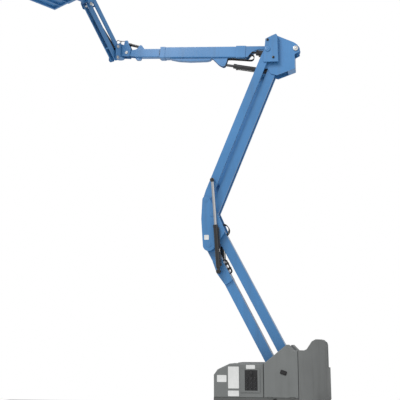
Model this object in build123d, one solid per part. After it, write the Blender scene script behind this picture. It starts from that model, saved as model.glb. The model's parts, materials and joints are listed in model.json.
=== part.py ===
"""Articulating boom lift: riser parallelograms, telescopic boom, swinging jib and platform, in millimetres.

X points forward, Y to the machine's left, Z up. The origin is on the ground under the slew axis.
"""

from math import atan2, cos, degrees, hypot, radians, sin
import os

from build123d import *

# Fits
PIN_CLEAR = 0.25
ROD_CLEAR = 0.5
SLIDE_CLEAR = 1.0

# Wheels and axles
WHEEL_X = 990
WHEEL_Y = 660
TYRE_R = 280
TYRE_W = 180
TYRE_ROUND = 26
RIM_R = 225
RIM_W = 168
RIM_WALL = 16
RIM_DISC = 18
RIM_DISC_Y = 34
HUB_R = 82
HUB_IN = 44
HUB_OUT = 70
VENT_R = 24
VENT_PCD_R = 148
VENT_COUNT = 8
STUB_R = 40
AXLE_LOW = 235
AXLE_HIGH = 340
BEAM_HALF = 55
KINGPIN_Y = 520
KINGPIN_R = 25
KNUCKLE_EYE_R = 58
YOKE_GAP = 6
YOKE_PLATE = 20
STEER_ARM = 130
TIE_ROD_Z = 290
TIE_ROD_R = 20
STEER_BARREL_R = 40
STEER_BARREL_HALF = 180
TIE_PIN_R = 9
GEAR_R = 120
GEAR_IN = 400

# Chassis
FRAME_TOP = 600
FRAME_LOW = 180
FRAME_ARCH = 370
FRAME_HALF = 330
FRAME_END = 1250
FRAME_WALL = 16
SPONSON_X = 600
SPONSON_Y = 545
SPONSON_LOW = 235
SPONSON_HIGH = 560
TIE_EYE_R = 20
TIE_EYE_Y = 262
TIE_EYE_OUT = 42
TIE_EYE_Z = 440

# Turntable
RING_OUT = 400
RING_IN = 300
RING_TOP = 660
RING_GAP = 0.3
DECK_LOW = 690
DECK_TOP = 712
SKIRT_TOP = 758
SKIRT_WALL = 14
TAIL_R = 750
SIDE_Y = 690
SLOT_Y = 222
FRONT_X = 985
COVER_FRONT = 219
COVER_REAR = -299
PANEL_GAP = 6
COVER_WALL = 12
COVER_ROUND = 14
HOUSING_TOP = 1258
NOSE_DROP = 168
PEAK_TOP = 1543
SHOULDER_TOP = 1452
HUMP_TOP = 1622
SLOT_FLOOR = 1190
HINGE_R = 10
HINGE_LEN = 70
HINGE_IN = 90
POST_IN = 170
POST_OUT = 190

# Riser, side view offsets as (x, z)
LOWER_DEG = 62.5
LOWER_LEN = 2443
LOWER_DEPTH = 156
LOWER_HALF = 100
LOWER_WALL = 9
LOWER_BOSS_R = 68
LOWER_BOSS_HALF = 165
POST_FRONT = (30, 991)
REAR_POST_OFF = (-163, 233)
UPPER_DEG = 112.7
UPPER_LEN = 2797
ELBOW_C_OFF = (46, 762)
ELBOW_D_OFF = (-56, 513)
ELBOW_BULGE_OFF = (28, 442)
RISER_PIN_R = 30
C_IN = 125
C_OUT = 165
C_DEPTH = 140
D_IN = 54
D_OUT = 92
D_DEPTH = 150
LINK_WALL = 8
ELBOW_IN = 170
ELBOW_OUT = 186
ELBOW_SKIN = 12
RISER_FOOT_BACK = 475
RISER_FOOT_OFF = -53
RISER_EYE_ALONG = 341
RISER_EYE_OFF = -14
RISER_CYL_Y = 230
RISER_CYL_R = 38
RISER_ROD_R = 24
RISER_BARREL_SHARE = 0.5029
RISER_ROD_SHARE = 0.5245
RISER_CYL_PIN = 22
RISER_FOLD_DEG = 61.5
UPPER_RATIO = (180 - 1.1 - UPPER_DEG) / RISER_FOLD_DEG
HOSE_R = 11
HOSE_BEND = 34
HOSE_BACK = 563
HOSE_RUN = 240

# Head
HEAD_IN = 97
HEAD_PLATE = 12
EAR_IN = 38
EAR_OUT = 48
BOOM_PIVOT_OFF = (-470, 0)
LIFT_FOOT_OFF = (-65, -350)
MASTER_FOOT_OFF = (-255, -58)

# Boom
BOOM_DEG = 4.4
BOOM_DROP = 38
BOOM_DEPTH = 196
BOOM_HALF = 74
BOOM_WALL = 8
BOOM_ROUND = 12
BOOM_START = 860
BOOM_END = 2406
BOOM_MAX_DEG = 70.6
TAIL_IN = 56
FAIRING_AHEAD = 212
FAIRING_BACK = 166
FAIRING_DROP = 56
EXT_DEPTH = 150
EXT_HALF = 56
EXT_WALL = 8
EXT_IN = 110
EXT_OUT = 464
EXT_STROKE = 1100
LIFT_EYE_ALONG = 1258
LIFT_EYE_OFF = -209
MASTER_EYE_ALONG = 873
MASTER_EYE_OFF = 22
TIP_AHEAD = 164
SLAVE_FOOT_OFF = (-252, 105)
SLAVE_EYE_OFF = (20, 196)
LIFT_R = 38
LIFT_ROD_R = 22
LIFT_BARREL_SHARE = 0.7882
LIFT_ROD_SHARE = 0.9436
MASTER_R = 44
MASTER_ROD_R = 16
MASTER_BARREL_SHARE = 0.7243
MASTER_ROD_SHARE = 0.7605
SLAVE_R = 24
SLAVE_ROD_R = 13
SLAVE_BARREL_SHARE = 0.8298
SLAVE_ROD_SHARE = 0.8368

# Tip and jib
BRACKET_IN = 58
BRACKET_OUT = 72
SWING_AHEAD = 135
SWING_DEG = 59
ROTATOR_R = 78
ROTATOR_DROP = 60
ROTATOR_H = 205
SPINDLE_R = 40
CAP_GAP = 5
CAP = 18
JIB_FOOT_F = 150
JIB_FOOT_DROP = 62
JIB_RISE = 205
JIB_LEN = 1020
JIB_DEG = 51.6
JIB_UP_DEG = 67
JIB_DOWN_DEG = -71
JIB_LINK_R = 43
JIB_LOW_IN = 38
JIB_LOW_OUT = 58
JIB_HIGH_IN = 63
JIB_HIGH_OUT = 83
YOKE_IN = 88
YOKE_OUT = 98
JIB_PIN_R = 20
JIB_CYL_R = 28
JIB_ROD_R = 16
JIB_BARREL_SHARE = 0.6907
JIB_ROD_SHARE = 0.8288

# Platform
TURN_AHEAD = 107
TURN_RISE = 69
TURN_H = 160
TURN_R = 52
TURN_ARM = 36
REAR_OFFSET = 160
FLOOR_DEPTH = 600
FLOOR_HALF = 585
FLOOR_DROP = 55
FLOOR_H = 42
FLOOR_PLATE = 5
RIB_COUNT = 5
RAIL_R = 19
RAIL_TOP = 1100
RAIL_MID = 560
TOE_H = 110
GATE_IN = 150
GATE_W = 340
GATE_PIN_R = 8
GATE_PIN = 60


def polar(point, distance, angle):
    """The point at a distance and angle from another, in side view."""
    turn = radians(angle)
    return (point[0] + distance * cos(turn), point[1] + distance * sin(turn))


def local(point, angle, along, off):
    """A point given along a bar and off to its upper side."""
    return polar(polar(point, along, angle), off, angle + 90)


def span(start, end):
    """Length and angle of the line between two points."""
    return hypot(end[0] - start[0], end[1] - start[1]), degrees(atan2(end[1] - start[1], end[0] - start[0]))


def beside(point, shift):
    """The point at an (x, z) shift from another."""
    return (point[0] + shift[0], point[1] + shift[1])


def around(point, *shifts):
    """Points given as shifts from one point."""
    return [beside(point, shift) for shift in shifts]


TIE_EYE_X = FRAME_END + TIE_EYE_OUT
POST_REAR = beside(POST_FRONT, REAR_POST_OFF)
ELBOW_A = polar(POST_FRONT, LOWER_LEN, LOWER_DEG)
ELBOW_B = polar(POST_REAR, LOWER_LEN, LOWER_DEG)
ELBOW_C = beside(ELBOW_A, ELBOW_C_OFF)
ELBOW_D = beside(ELBOW_A, ELBOW_D_OFF)
HEAD_C = polar(ELBOW_C, UPPER_LEN, UPPER_DEG)
HEAD_D = polar(ELBOW_D, UPPER_LEN, UPPER_DEG)
RISER_FOOT_ALONG = LOWER_LEN - RISER_FOOT_BACK
HOSE_START = LOWER_LEN - HOSE_BACK
HOSE_END = HOSE_START + HOSE_RUN
RISER_FOOT = local(POST_FRONT, LOWER_DEG, RISER_FOOT_ALONG, RISER_FOOT_OFF)
RISER_EYE = local(ELBOW_C, UPPER_DEG, RISER_EYE_ALONG, RISER_EYE_OFF)
BOOM_PIVOT = beside(HEAD_C, BOOM_PIVOT_OFF)
LIFT_FOOT = beside(HEAD_C, LIFT_FOOT_OFF)
MASTER_FOOT = beside(HEAD_C, MASTER_FOOT_OFF)
BOOM_ORIGIN = beside(BOOM_PIVOT, (0, -BOOM_DROP))
EXT_START = BOOM_START + EXT_IN
EXT_END = BOOM_END + EXT_OUT
FAIRING_START = LIFT_EYE_ALONG + FAIRING_AHEAD
FAIRING_LEN = BOOM_END - FAIRING_BACK - FAIRING_START
LIFT_EYE = local(BOOM_ORIGIN, BOOM_DEG, LIFT_EYE_ALONG, LIFT_EYE_OFF)
MASTER_EYE = local(BOOM_ORIGIN, BOOM_DEG, MASTER_EYE_ALONG, MASTER_EYE_OFF)
TIP_PIVOT = local(BOOM_ORIGIN, BOOM_DEG, EXT_END + TIP_AHEAD, 0)
SLAVE_FOOT = beside(TIP_PIVOT, SLAVE_FOOT_OFF)
SLAVE_EYE = beside(TIP_PIVOT, SLAVE_EYE_OFF)
SWING_X = TIP_PIVOT[0] + SWING_AHEAD
ROTATOR_LOW = TIP_PIVOT[1] - ROTATOR_DROP
ROTATOR_HIGH = ROTATOR_LOW + ROTATOR_H
JIB_FOOT_LOW = (JIB_FOOT_F, ROTATOR_LOW - JIB_FOOT_DROP)
JIB_FOOT_HIGH = beside(JIB_FOOT_LOW, (0, JIB_RISE))
JIB_HEAD_LOW = polar(JIB_FOOT_LOW, JIB_LEN, JIB_DEG)
JIB_HEAD_HIGH = polar(JIB_FOOT_HIGH, JIB_LEN, JIB_DEG)
TURN_F = JIB_HEAD_LOW[0] + TURN_AHEAD
TURN_LOW = JIB_HEAD_LOW[1] + TURN_RISE
TURN_HIGH = TURN_LOW + TURN_H
REAR_F = TURN_F + REAR_OFFSET
FRONT_F = REAR_F + FLOOR_DEPTH
FLOOR_LOW = TURN_LOW - FLOOR_DROP
FLOOR_TOP = FLOOR_LOW + FLOOR_H
GATE_START = REAR_F + GATE_IN
GATE_END = GATE_START + GATE_W
JIB_PLACE = Pos(SWING_X, 0, 0) * Rot(0, 0, SWING_DEG)
RISER_PINS = span(RISER_FOOT, RISER_EYE)[0]
LIFT_PINS = span(LIFT_FOOT, LIFT_EYE)[0]
MASTER_PINS = span(MASTER_FOOT, MASTER_EYE)[0]
SLAVE_PINS = span(SLAVE_FOOT, SLAVE_EYE)[0]
JIB_PINS = span(JIB_FOOT_HIGH, JIB_HEAD_LOW)[0]


def outline(points, radius=0):
    """A closed side outline, its corners rounded if a radius is given."""
    face = make_face(Polyline(*points, close=True))
    return fillet(face.vertices(), radius) if radius else face


def disc(radius, point=(0, 0)):
    """A round outline at a point."""
    return Pos(*point) * Circle(radius)


def hull(*discs):
    """The outline drawn tight around several discs."""
    return make_hull([edge for one in discs for edge in one.edges()])


def slab(sketch, y_low, y_high, point=(0, 0), angle=0):
    """A plate cut to a side outline, between two distances from the mid-plane."""
    turn = radians(angle)
    plane = Plane(origin=(point[0], y_high, point[1]), x_dir=(cos(turn), 0, sin(turn)), z_dir=(0, -1, 0))
    return extrude(plane * sketch, amount=y_high - y_low)


def pin(point, radius, y_low, y_high):
    """A round bar across the machine."""
    return slab(disc(radius, point), y_low, y_high)


def both(shape):
    """A shape and its mirror image on the other side."""
    return shape + mirror(shape, about=Plane.XZ)


def block(x_low, x_high, y_low, y_high, z_low, z_high):
    """A plain box between limits."""
    size = Box(x_high - x_low, y_high - y_low, z_high - z_low, align=Align.MIN)
    return Pos(x_low, y_low, z_low) * size


def post(x, y, z_low, z_high, radius):
    """An upright round bar."""
    return Pos(x, y, z_low) * Cylinder(radius, z_high - z_low, align=(Align.CENTER, Align.CENTER, Align.MIN))


def tube_between(start, end, radius):
    """A round bar between two points in space."""
    line = Vector(*end) - Vector(*start)
    return extrude(Plane(origin=start, z_dir=line) * Circle(radius), amount=line.length)


def across(x, z, radius, y_low, y_high):
    """A round bar along Y."""
    return pin((x, z), radius, y_low, y_high)


def hose(points, radius, bend):
    """A hose laid through points in space, its corners bent."""
    path = FilletPolyline(*points, radius=bend)
    return sweep(Plane(origin=path @ 0, z_dir=path % 0) * Circle(radius), path=path)


def cylinder_barrel(foot, eye, length, radius, rod_radius, eye_half, pin_radius, y=0, pipe_side=0):
    """A cylinder's barrel: foot eye, neck, tube, gland and feed pipe, bored for its rod."""
    angle = span(foot, eye)[1]
    start = pin_radius + 22
    body_start = start + 20
    gland = length - 46
    neck = min(radius, eye_half) - 4
    tube = revolve(
        outline([(start - 8, 0), (start - 8, neck), (body_start, neck), (body_start, radius), (gland, radius),
                 (gland, radius + 4), (length, radius + 4), (length, 0)]),
        Axis.X,
    )
    if pipe_side:
        pipe = radius / 5
        height = pipe_side * (radius + pipe + 4)
        for along in (body_start + 40, gland - 20):
            tube += Pos(along, 0, height / 2) * Box(30, 3 * pipe, abs(height) + 3 * pipe)
        tube += tube_between((body_start + 40, 0, height), (gland - 20, 0, height), pipe)
    bore = revolve(outline([(start + 2, 0), (start + 2, rod_radius + ROD_CLEAR),
                            (length + 1, rod_radius + ROD_CLEAR), (length + 1, 0)]), Axis.X)
    place = Pos(foot[0], y, foot[1]) * Rot(0, -angle, 0)
    body = place * (tube - bore)
    body += pin(foot, pin_radius + 16, y - eye_half, y + eye_half)
    return body - pin(foot, pin_radius + PIN_CLEAR, y - eye_half - 1, y + eye_half + 1)


def cylinder_rod(foot, eye, length, radius, eye_half, pin_radius, y=0, head=0):
    """A cylinder's rod, its eye closed by its own pin."""
    reach, angle = span(foot, eye)
    rod = revolve(outline([(reach - length, 0), (reach - length, radius),
                           (reach - pin_radius - 4, radius), (reach - pin_radius - 4, 0)]), Axis.X)
    body = Pos(foot[0], y, foot[1]) * Rot(0, -angle, 0) * rod
    body += pin(eye, pin_radius + 14, y - eye_half, y + eye_half)
    return body + pin(eye, pin_radius, y - eye_half, y + eye_half + head)


def tyre(x, y):
    """A solid rubber tyre on its rim seat."""
    ring = fillet(Cylinder(TYRE_R, TYRE_W).edges(), TYRE_ROUND) - Cylinder(RIM_R, TYRE_W)
    return Pos(x, y, TYRE_R) * Rot(90, 0, 0) * ring


def rim(x, side):
    """A dished steel wheel with vent holes and a hub bored for the stub axle."""
    shape = across(0, 0, RIM_R, -RIM_W / 2, RIM_W / 2) - across(0, 0, RIM_R - RIM_WALL, -RIM_W, RIM_W)
    plate = across(0, 0, RIM_R - RIM_WALL / 2, RIM_DISC_Y, RIM_DISC_Y + RIM_DISC)
    for i in range(VENT_COUNT):
        spot = polar((0, 0), VENT_PCD_R, 360 * i / VENT_COUNT)
        plate -= across(spot[0], spot[1], VENT_R, 0, RIM_W)
    shape += plate
    shape += across(0, 0, HUB_R, -HUB_IN, HUB_OUT)
    shape -= across(0, 0, STUB_R + PIN_CLEAR, -RIM_W, HUB_OUT - 12)
    left = Pos(x, WHEEL_Y, TYRE_R) * shape
    return left if side > 0 else mirror(left, about=Plane.XZ)


def chassis_frame():
    """Hollow weldment, stepped up over both axles, with tie-down eyes at its corners."""
    profile = outline([
        (-FRAME_END, FRAME_ARCH), (-WHEEL_X + 190, FRAME_ARCH), (-SPONSON_X - 60, FRAME_LOW + 40),
        (-SPONSON_X, FRAME_LOW), (SPONSON_X, FRAME_LOW), (SPONSON_X + 60, FRAME_LOW + 40),
        (WHEEL_X - 190, FRAME_ARCH), (FRAME_END, FRAME_ARCH), (FRAME_END, FRAME_TOP - 70),
        (FRAME_END - 90, FRAME_TOP), (-FRAME_END + 90, FRAME_TOP), (-FRAME_END, FRAME_TOP - 70),
    ])
    box = slab(profile, -FRAME_HALF, FRAME_HALF)
    box -= slab(offset(profile, -FRAME_WALL), -FRAME_HALF + FRAME_WALL, FRAME_HALF - FRAME_WALL)
    eye = hull(disc(40, (TIE_EYE_X, TIE_EYE_Z)), disc(20, (FRAME_END - 4, FRAME_ARCH + 25)),
               disc(20, (FRAME_END - 4, FRAME_TOP - 100)))
    lug = slab(eye, TIE_EYE_Y - 10, TIE_EYE_Y + 10) - pin((TIE_EYE_X, TIE_EYE_Z), TIE_EYE_R, 0, FRAME_HALF)
    lug -= block(0, FRAME_END - 2, 0, FRAME_HALF, 0, FRAME_TOP)
    lugs = lug + mirror(lug, about=Plane.YZ)
    return box + both(lugs)


def chassis_sponson():
    """Left hollow box between the wheels, with a pressed rib along it and a step plate."""
    side = outline([
        (-SPONSON_X, SPONSON_LOW + 60), (-SPONSON_X + 60, SPONSON_LOW), (SPONSON_X - 60, SPONSON_LOW),
        (SPONSON_X, SPONSON_LOW + 60), (SPONSON_X, SPONSON_HIGH), (-SPONSON_X, SPONSON_HIGH),
    ])
    box = slab(side, FRAME_HALF, SPONSON_Y)
    box -= slab(offset(side, -FRAME_WALL), FRAME_HALF + FRAME_WALL, SPONSON_Y - FRAME_WALL)
    middle = (SPONSON_LOW + SPONSON_HIGH) / 2
    rib = Pos(0, middle) * RectangleRounded(2 * SPONSON_X - 240, 90, 30)
    return box + slab(rib, SPONSON_Y - 1, SPONSON_Y + 8)


def front_axle():
    """Beam with kingpin eyes, saddle pads and the steering cylinder's body."""
    beam = block(WHEEL_X - BEAM_HALF, WHEEL_X + BEAM_HALF, -KINGPIN_Y, KINGPIN_Y, AXLE_LOW, AXLE_HIGH)
    beam += both(post(WHEEL_X, KINGPIN_Y, AXLE_LOW, AXLE_HIGH, KNUCKLE_EYE_R))
    beam += both(block(WHEEL_X - 90, WHEEL_X + 90, 120, 240, AXLE_HIGH - 1, FRAME_ARCH))
    back = WHEEL_X - STEER_ARM
    beam += across(back, TIE_ROD_Z, STEER_BARREL_R, -STEER_BARREL_HALF, STEER_BARREL_HALF)
    beam += both(block(back, WHEEL_X, 110, 140, TIE_ROD_Z - 18, TIE_ROD_Z + 18))
    beam -= across(back, TIE_ROD_Z, TIE_ROD_R + ROD_CLEAR, -KINGPIN_Y, KINGPIN_Y)
    return beam - both(post(WHEEL_X, KINGPIN_Y, 0, FRAME_TOP, KINGPIN_R + PIN_CLEAR))


def rear_axle():
    """Rigid beam with a gear housing and stub axle at each end."""
    beam = block(-WHEEL_X - BEAM_HALF, -WHEEL_X + BEAM_HALF, -GEAR_IN, GEAR_IN, AXLE_LOW, AXLE_HIGH)
    beam += both(block(-WHEEL_X - 90, -WHEEL_X + 90, 120, 240, AXLE_HIGH - 1, FRAME_ARCH))
    hub_face = WHEEL_Y - HUB_IN - YOKE_GAP
    gear = across(-WHEEL_X, TYRE_R, GEAR_R, GEAR_IN - 1, hub_face - 60)
    gear += across(-WHEEL_X, TYRE_R, GEAR_R - 24, hub_face - 61, hub_face)
    gear += across(-WHEEL_X, TYRE_R, STUB_R, hub_face - 1, WHEEL_Y + HUB_OUT - 14)
    return beam + both(gear)


def knuckle():
    """Left yoke: kingpin, web, stub axle and steering arm with its pin."""
    low = AXLE_LOW - YOKE_GAP - YOKE_PLATE
    high = AXLE_HIGH + YOKE_GAP
    web_in = KINGPIN_Y + KNUCKLE_EYE_R + YOKE_GAP
    hub_face = WHEEL_Y - HUB_IN - YOKE_GAP
    plan = hull(disc(KNUCKLE_EYE_R, (WHEEL_X, KINGPIN_Y)), disc(30, (WHEEL_X - 40, hub_face - 32)),
                disc(30, (WHEEL_X + 40, hub_face - 32)))
    shape = Pos(0, 0, low) * extrude(plan, amount=YOKE_PLATE)
    shape += Pos(0, 0, high) * extrude(plan, amount=YOKE_PLATE)
    shape += block(WHEEL_X - 60, WHEEL_X + 60, web_in, hub_face, low, high + YOKE_PLATE)
    shape += post(WHEEL_X, KINGPIN_Y, low, high + YOKE_PLATE, KINGPIN_R)
    shape += across(WHEEL_X, TYRE_R, STUB_R, web_in, WHEEL_Y + HUB_OUT - 14)
    arm = hull(disc(46, (WHEEL_X, KINGPIN_Y)), disc(26, (WHEEL_X - STEER_ARM, KINGPIN_Y)))
    shape += Pos(0, 0, low) * extrude(arm, amount=YOKE_PLATE)
    return shape + post(WHEEL_X - STEER_ARM, KINGPIN_Y, low, TIE_ROD_Z + 16, TIE_PIN_R)


def tie_rod():
    """Sliding rod with a slotted eye at each end for the steering arms' pins."""
    back = WHEEL_X - STEER_ARM
    eye = block(back - 26, back + 50, KINGPIN_Y - 28, KINGPIN_Y + 28, TIE_ROD_Z - 10, TIE_ROD_Z + 10)
    slot = hull(disc(TIE_PIN_R + 6, (back - 1, KINGPIN_Y)), disc(TIE_PIN_R + 6, (back + 28, KINGPIN_Y)))
    eye -= Pos(0, 0, TIE_ROD_Z - 50) * extrude(slot, amount=100)
    rod = across(back, TIE_ROD_Z, TIE_ROD_R, -KINGPIN_Y + 27, KINGPIN_Y - 27)
    return rod + both(eye)


def deck_plan(inset):
    """Plan of the turntable: straight sides, tail struck about the slew axis."""
    front = Pos((FRONT_X - inset) / 2, 0) * Rectangle(FRONT_X - inset, 2 * (SIDE_Y - inset))
    tail = Circle(TAIL_R - inset) & Rectangle(3 * TAIL_R, 2 * (SIDE_Y - inset))
    return front + tail


def turntable_base():
    """Deck with skirt, bearing ring and the two riser posts with the lower pins."""
    deck = Pos(0, 0, DECK_LOW) * extrude(deck_plan(8), amount=DECK_TOP - DECK_LOW)
    skirt = Pos(0, 0, DECK_LOW) * extrude(deck_plan(0) - deck_plan(SKIRT_WALL), amount=SKIRT_TOP - DECK_LOW)
    skirt &= block(COVER_REAR - 1, FRONT_X, -SIDE_Y, SIDE_Y, 0, FRAME_TOP * 2)
    skirt -= block(0, FRONT_X + 1, -SLOT_Y, SLOT_Y, DECK_TOP, SKIRT_TOP + 1)
    base = deck + skirt
    base += Pos(0, 0, RING_TOP + RING_GAP) * extrude(Circle(RING_OUT - 12) - Circle(RING_IN + 12), amount=30)
    feet = DECK_TOP + 18
    shape = hull(disc(92, POST_FRONT), disc(92, POST_REAR), disc(20, (-262, feet)), disc(20, (250, feet)))
    posts = both(slab(shape, POST_IN, POST_OUT))
    posts += block(-286, -272, -POST_OUT, POST_OUT, DECK_TOP - 2, 1010)
    for foot in (POST_FRONT, POST_REAR):
        posts += pin(foot, RISER_PIN_R, -POST_OUT - 8, POST_OUT + 8)
    for middle in (COVER_REAR + HINGE_IN, COVER_FRONT - HINGE_IN):
        base += both(hinge_bar(middle, HINGE_R, HINGE_LEN))
    return base + posts


def hinge_bar(middle, radius, length):
    """A round bar along the left cover's hinge line."""
    start, end = middle - length / 2, middle + length / 2
    return tube_between((start, SIDE_Y, SKIRT_TOP), (end, SIDE_Y, SKIRT_TOP), radius)


def counterweight():
    """Cast tail: arc in plan, two humps beside the boom slot, its outer edges rounded."""
    rear = COVER_REAR - PANEL_GAP
    profile = outline([
        (-TAIL_R - 10, DECK_TOP), (rear, DECK_TOP), (rear, SHOULDER_TOP), (rear - 80, SHOULDER_TOP),
        (rear - 125, SHOULDER_TOP + 23), (rear - 200, HUMP_TOP - 32), (rear - 255, HUMP_TOP),
        (rear - 345, HUMP_TOP - 2), (rear - 400, HUMP_TOP - 47), (rear - 427, HUMP_TOP - 142),
        (-TAIL_R - 10, HUMP_TOP - 422),
    ])
    mass = slab(profile, -SIDE_Y, SIDE_Y) & post(0, 0, 0, HUMP_TOP + 1, TAIL_R)
    return mass - block(-2 * TAIL_R, 0, -SLOT_Y, SLOT_Y, SLOT_FLOOR, HUMP_TOP + 1)


def hollow_side(points, x_low, x_high):
    """Left housing shell: side outline with rounded outer edges, open below, walled at the boom slot."""
    solid = slab(outline(points, 4), SLOT_Y, SIDE_Y)
    outer = solid.faces().sort_by(Axis.Y)[-1]
    rounded = [edge for edge in outer.edges() if edge.center().Z > SKIRT_TOP + 1]
    solid = fillet(rounded, COVER_ROUND)
    inner = slab(offset(outline(points, 4), -COVER_WALL), SLOT_Y + COVER_WALL, SIDE_Y - COVER_WALL)
    foot = block(x_low + COVER_WALL, x_high - COVER_WALL, SLOT_Y + COVER_WALL, SIDE_Y - COVER_WALL,
                 SKIRT_TOP - 1, SKIRT_TOP + 60)
    return solid - inner - foot


def front_housing():
    """Left fixed fairing in front of the cover, its nose sloped."""
    start = COVER_FRONT + PANEL_GAP
    points = [(start, SKIRT_TOP), (FRONT_X, SKIRT_TOP), (FRONT_X, HOUSING_TOP - NOSE_DROP),
              (FRONT_X - 60, HOUSING_TOP - 86), (FRONT_X - 245, HOUSING_TOP), (start, HOUSING_TOP)]
    return hollow_side(points, start, FRONT_X)


def side_cover():
    """Left hinged cover: slanted top up to the peak, open below and to the boom slot, cut for its hinges."""
    points = [(COVER_REAR, SKIRT_TOP), (COVER_FRONT, SKIRT_TOP), (COVER_FRONT, HOUSING_TOP),
              (COVER_REAR + 164, PEAK_TOP), (COVER_REAR + 77, SHOULDER_TOP + 2), (COVER_REAR, SHOULDER_TOP)]
    shell = hollow_side(points, COVER_REAR, COVER_FRONT)
    for middle in (COVER_REAR + HINGE_IN, COVER_FRONT - HINGE_IN):
        shell -= hinge_bar(middle, HINGE_R + 4, HINGE_LEN + 12)
    return shell - block(COVER_REAR + 30, COVER_FRONT - 30, SLOT_Y - 1, SLOT_Y + COVER_WALL + 1,
                         SKIRT_TOP - 1, HOUSING_TOP - 58)


def battery_packs():
    """One plain block on each side of the deck."""
    return both(block(-250, 180, 260, 640, DECK_TOP, 1120))


def ground_controls():
    """Control box on the left fairing: bezel, panel, stop button and switches."""
    face = SIDE_Y
    bezel = block(276, 574, face, face + 12, 836, 1177) - block(310, 505, face + 6, face + 13, 862, 1165)
    for row in range(3):
        for column in range(3):
            spot = (345 + 62 * column, 900 + 70 * row)
            bezel += across(spot[0], spot[1], 11, face + 4, face + 20)
    return bezel + across(407, 1120, 24, face + 4, face + 30)


def lower_arm(start):
    """A box arm of the lower parallelogram with pin bosses at both ends."""
    profile = hull(disc(LOWER_DEPTH / 2), disc(LOWER_DEPTH / 2, (LOWER_LEN, 0)))
    core = Pos(LOWER_LEN / 2, 0) * Rectangle(LOWER_LEN - 240, LOWER_DEPTH - 2 * LOWER_WALL)
    shape = slab(profile, -LOWER_HALF, LOWER_HALF, start, LOWER_DEG)
    shape -= slab(core, -LOWER_HALF + LOWER_WALL, LOWER_HALF - LOWER_WALL, start, LOWER_DEG)
    for along in (0, LOWER_LEN):
        end = polar(start, along, LOWER_DEG)
        shape += pin(end, LOWER_BOSS_R, -LOWER_BOSS_HALF, LOWER_BOSS_HALF)
        shape -= pin(end, RISER_PIN_R + PIN_CLEAR, -LOWER_BOSS_HALF - 1, LOWER_BOSS_HALF + 1)
    return shape


def lower_arm_front():
    """Front lower arm with the feet of the twin riser cylinders."""
    shape = lower_arm(POST_FRONT)
    spot = (RISER_FOOT_ALONG, RISER_FOOT_OFF)
    edge = LOWER_DEPTH / 2 - 30
    lug = hull(disc(52, spot), disc(30, (RISER_FOOT_ALONG - 190, edge)),
               disc(30, (RISER_FOOT_ALONG + 190, edge)), disc(30, (RISER_FOOT_ALONG + 200, -edge)),
                disc(30, (RISER_FOOT_ALONG - 200, -edge)))
    shape += both(slab(lug, LOWER_HALF - 1, LOWER_HALF + 35, POST_FRONT, LOWER_DEG))
    shape += pin(RISER_FOOT, 32, -RISER_CYL_Y + 34, RISER_CYL_Y - 34)
    return shape + pin(RISER_FOOT, RISER_CYL_PIN, -RISER_CYL_Y - 42, RISER_CYL_Y + 42)


def riser_hoses():
    """Two hoses lying on the back of the front lower arm, let into it at both ends."""
    face = LOWER_DEPTH / 2
    run = face + HOSE_R + 4
    shape = Part()
    for y in (LOWER_HALF - 20, LOWER_HALF - 52):
        route = [(HOSE_START, face), (HOSE_START, run + HOSE_BEND), (HOSE_END, run + HOSE_BEND),
                 (HOSE_END, face)]
        spots = [local(POST_FRONT, LOWER_DEG, along, off) for along, off in route]
        shape += hose([(x, y, z) for x, z in spots], HOSE_R, HOSE_BEND)
    return shape


def elbow():
    """Two cheek plates with four pins, a front skin and a cross tube."""
    bulge = beside(ELBOW_A, ELBOW_BULGE_OFF)
    cheek = hull(disc(100, ELBOW_A), disc(104, ELBOW_B), disc(62, ELBOW_C), disc(92, ELBOW_D),
                 disc(98, bulge))
    shape = both(slab(cheek, ELBOW_IN, ELBOW_OUT))
    skin = hull(disc(100, ELBOW_A), disc(98, bulge))
    skin -= hull(disc(100 - ELBOW_SKIN, ELBOW_A), disc(98 - ELBOW_SKIN, bulge))
    keep = outline([*around(ELBOW_A, (70, 20), (200, 20)), *around(bulge, (200, 40), (70, 40))])
    shape += slab(skin & keep, -ELBOW_IN - 1, ELBOW_IN + 1)
    shape += pin(beside(ELBOW_A, (34, 312)), 38, -ELBOW_IN - 1, ELBOW_IN + 1)
    for spot in (ELBOW_A, ELBOW_B, ELBOW_C, ELBOW_D):
        shape += pin(spot, RISER_PIN_R, -ELBOW_OUT - 1, ELBOW_OUT + 1)
    return shape


def link_outline(depth, end_radius):
    """Side outline of an upper link: full depth between narrower ends."""
    return hull(disc(end_radius), disc(depth / 2, (150, 0)), disc(depth / 2, (UPPER_LEN - 150, 0)),
                disc(end_radius, (UPPER_LEN, 0)))


def upper_link(start, depth, y_low, y_high, end_radius):
    """A pair of hollow bars with bored ends."""
    bar = slab(link_outline(depth, end_radius), y_low, y_high, start, UPPER_DEG)
    core = Pos(UPPER_LEN / 2, 0) * Rectangle(UPPER_LEN - 420, depth - 2 * LINK_WALL)
    bar -= slab(core, y_low + LINK_WALL, y_high - LINK_WALL, start, UPPER_DEG)
    for along in (0, UPPER_LEN):
        bar -= pin(polar(start, along, UPPER_DEG), RISER_PIN_R + PIN_CLEAR, 0, C_OUT + 20)
    return both(bar)


def upper_link_front():
    """Outer pair of bars, joined by the shaft that carries the riser cylinders' rod eyes."""
    shape = upper_link(ELBOW_C, C_DEPTH, C_IN, C_OUT, 58)
    shape += pin(RISER_EYE, 44, -C_IN - 2, C_IN + 2)
    return shape + both(pin(RISER_EYE, 40, C_OUT - 1, RISER_CYL_Y - 34))


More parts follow.
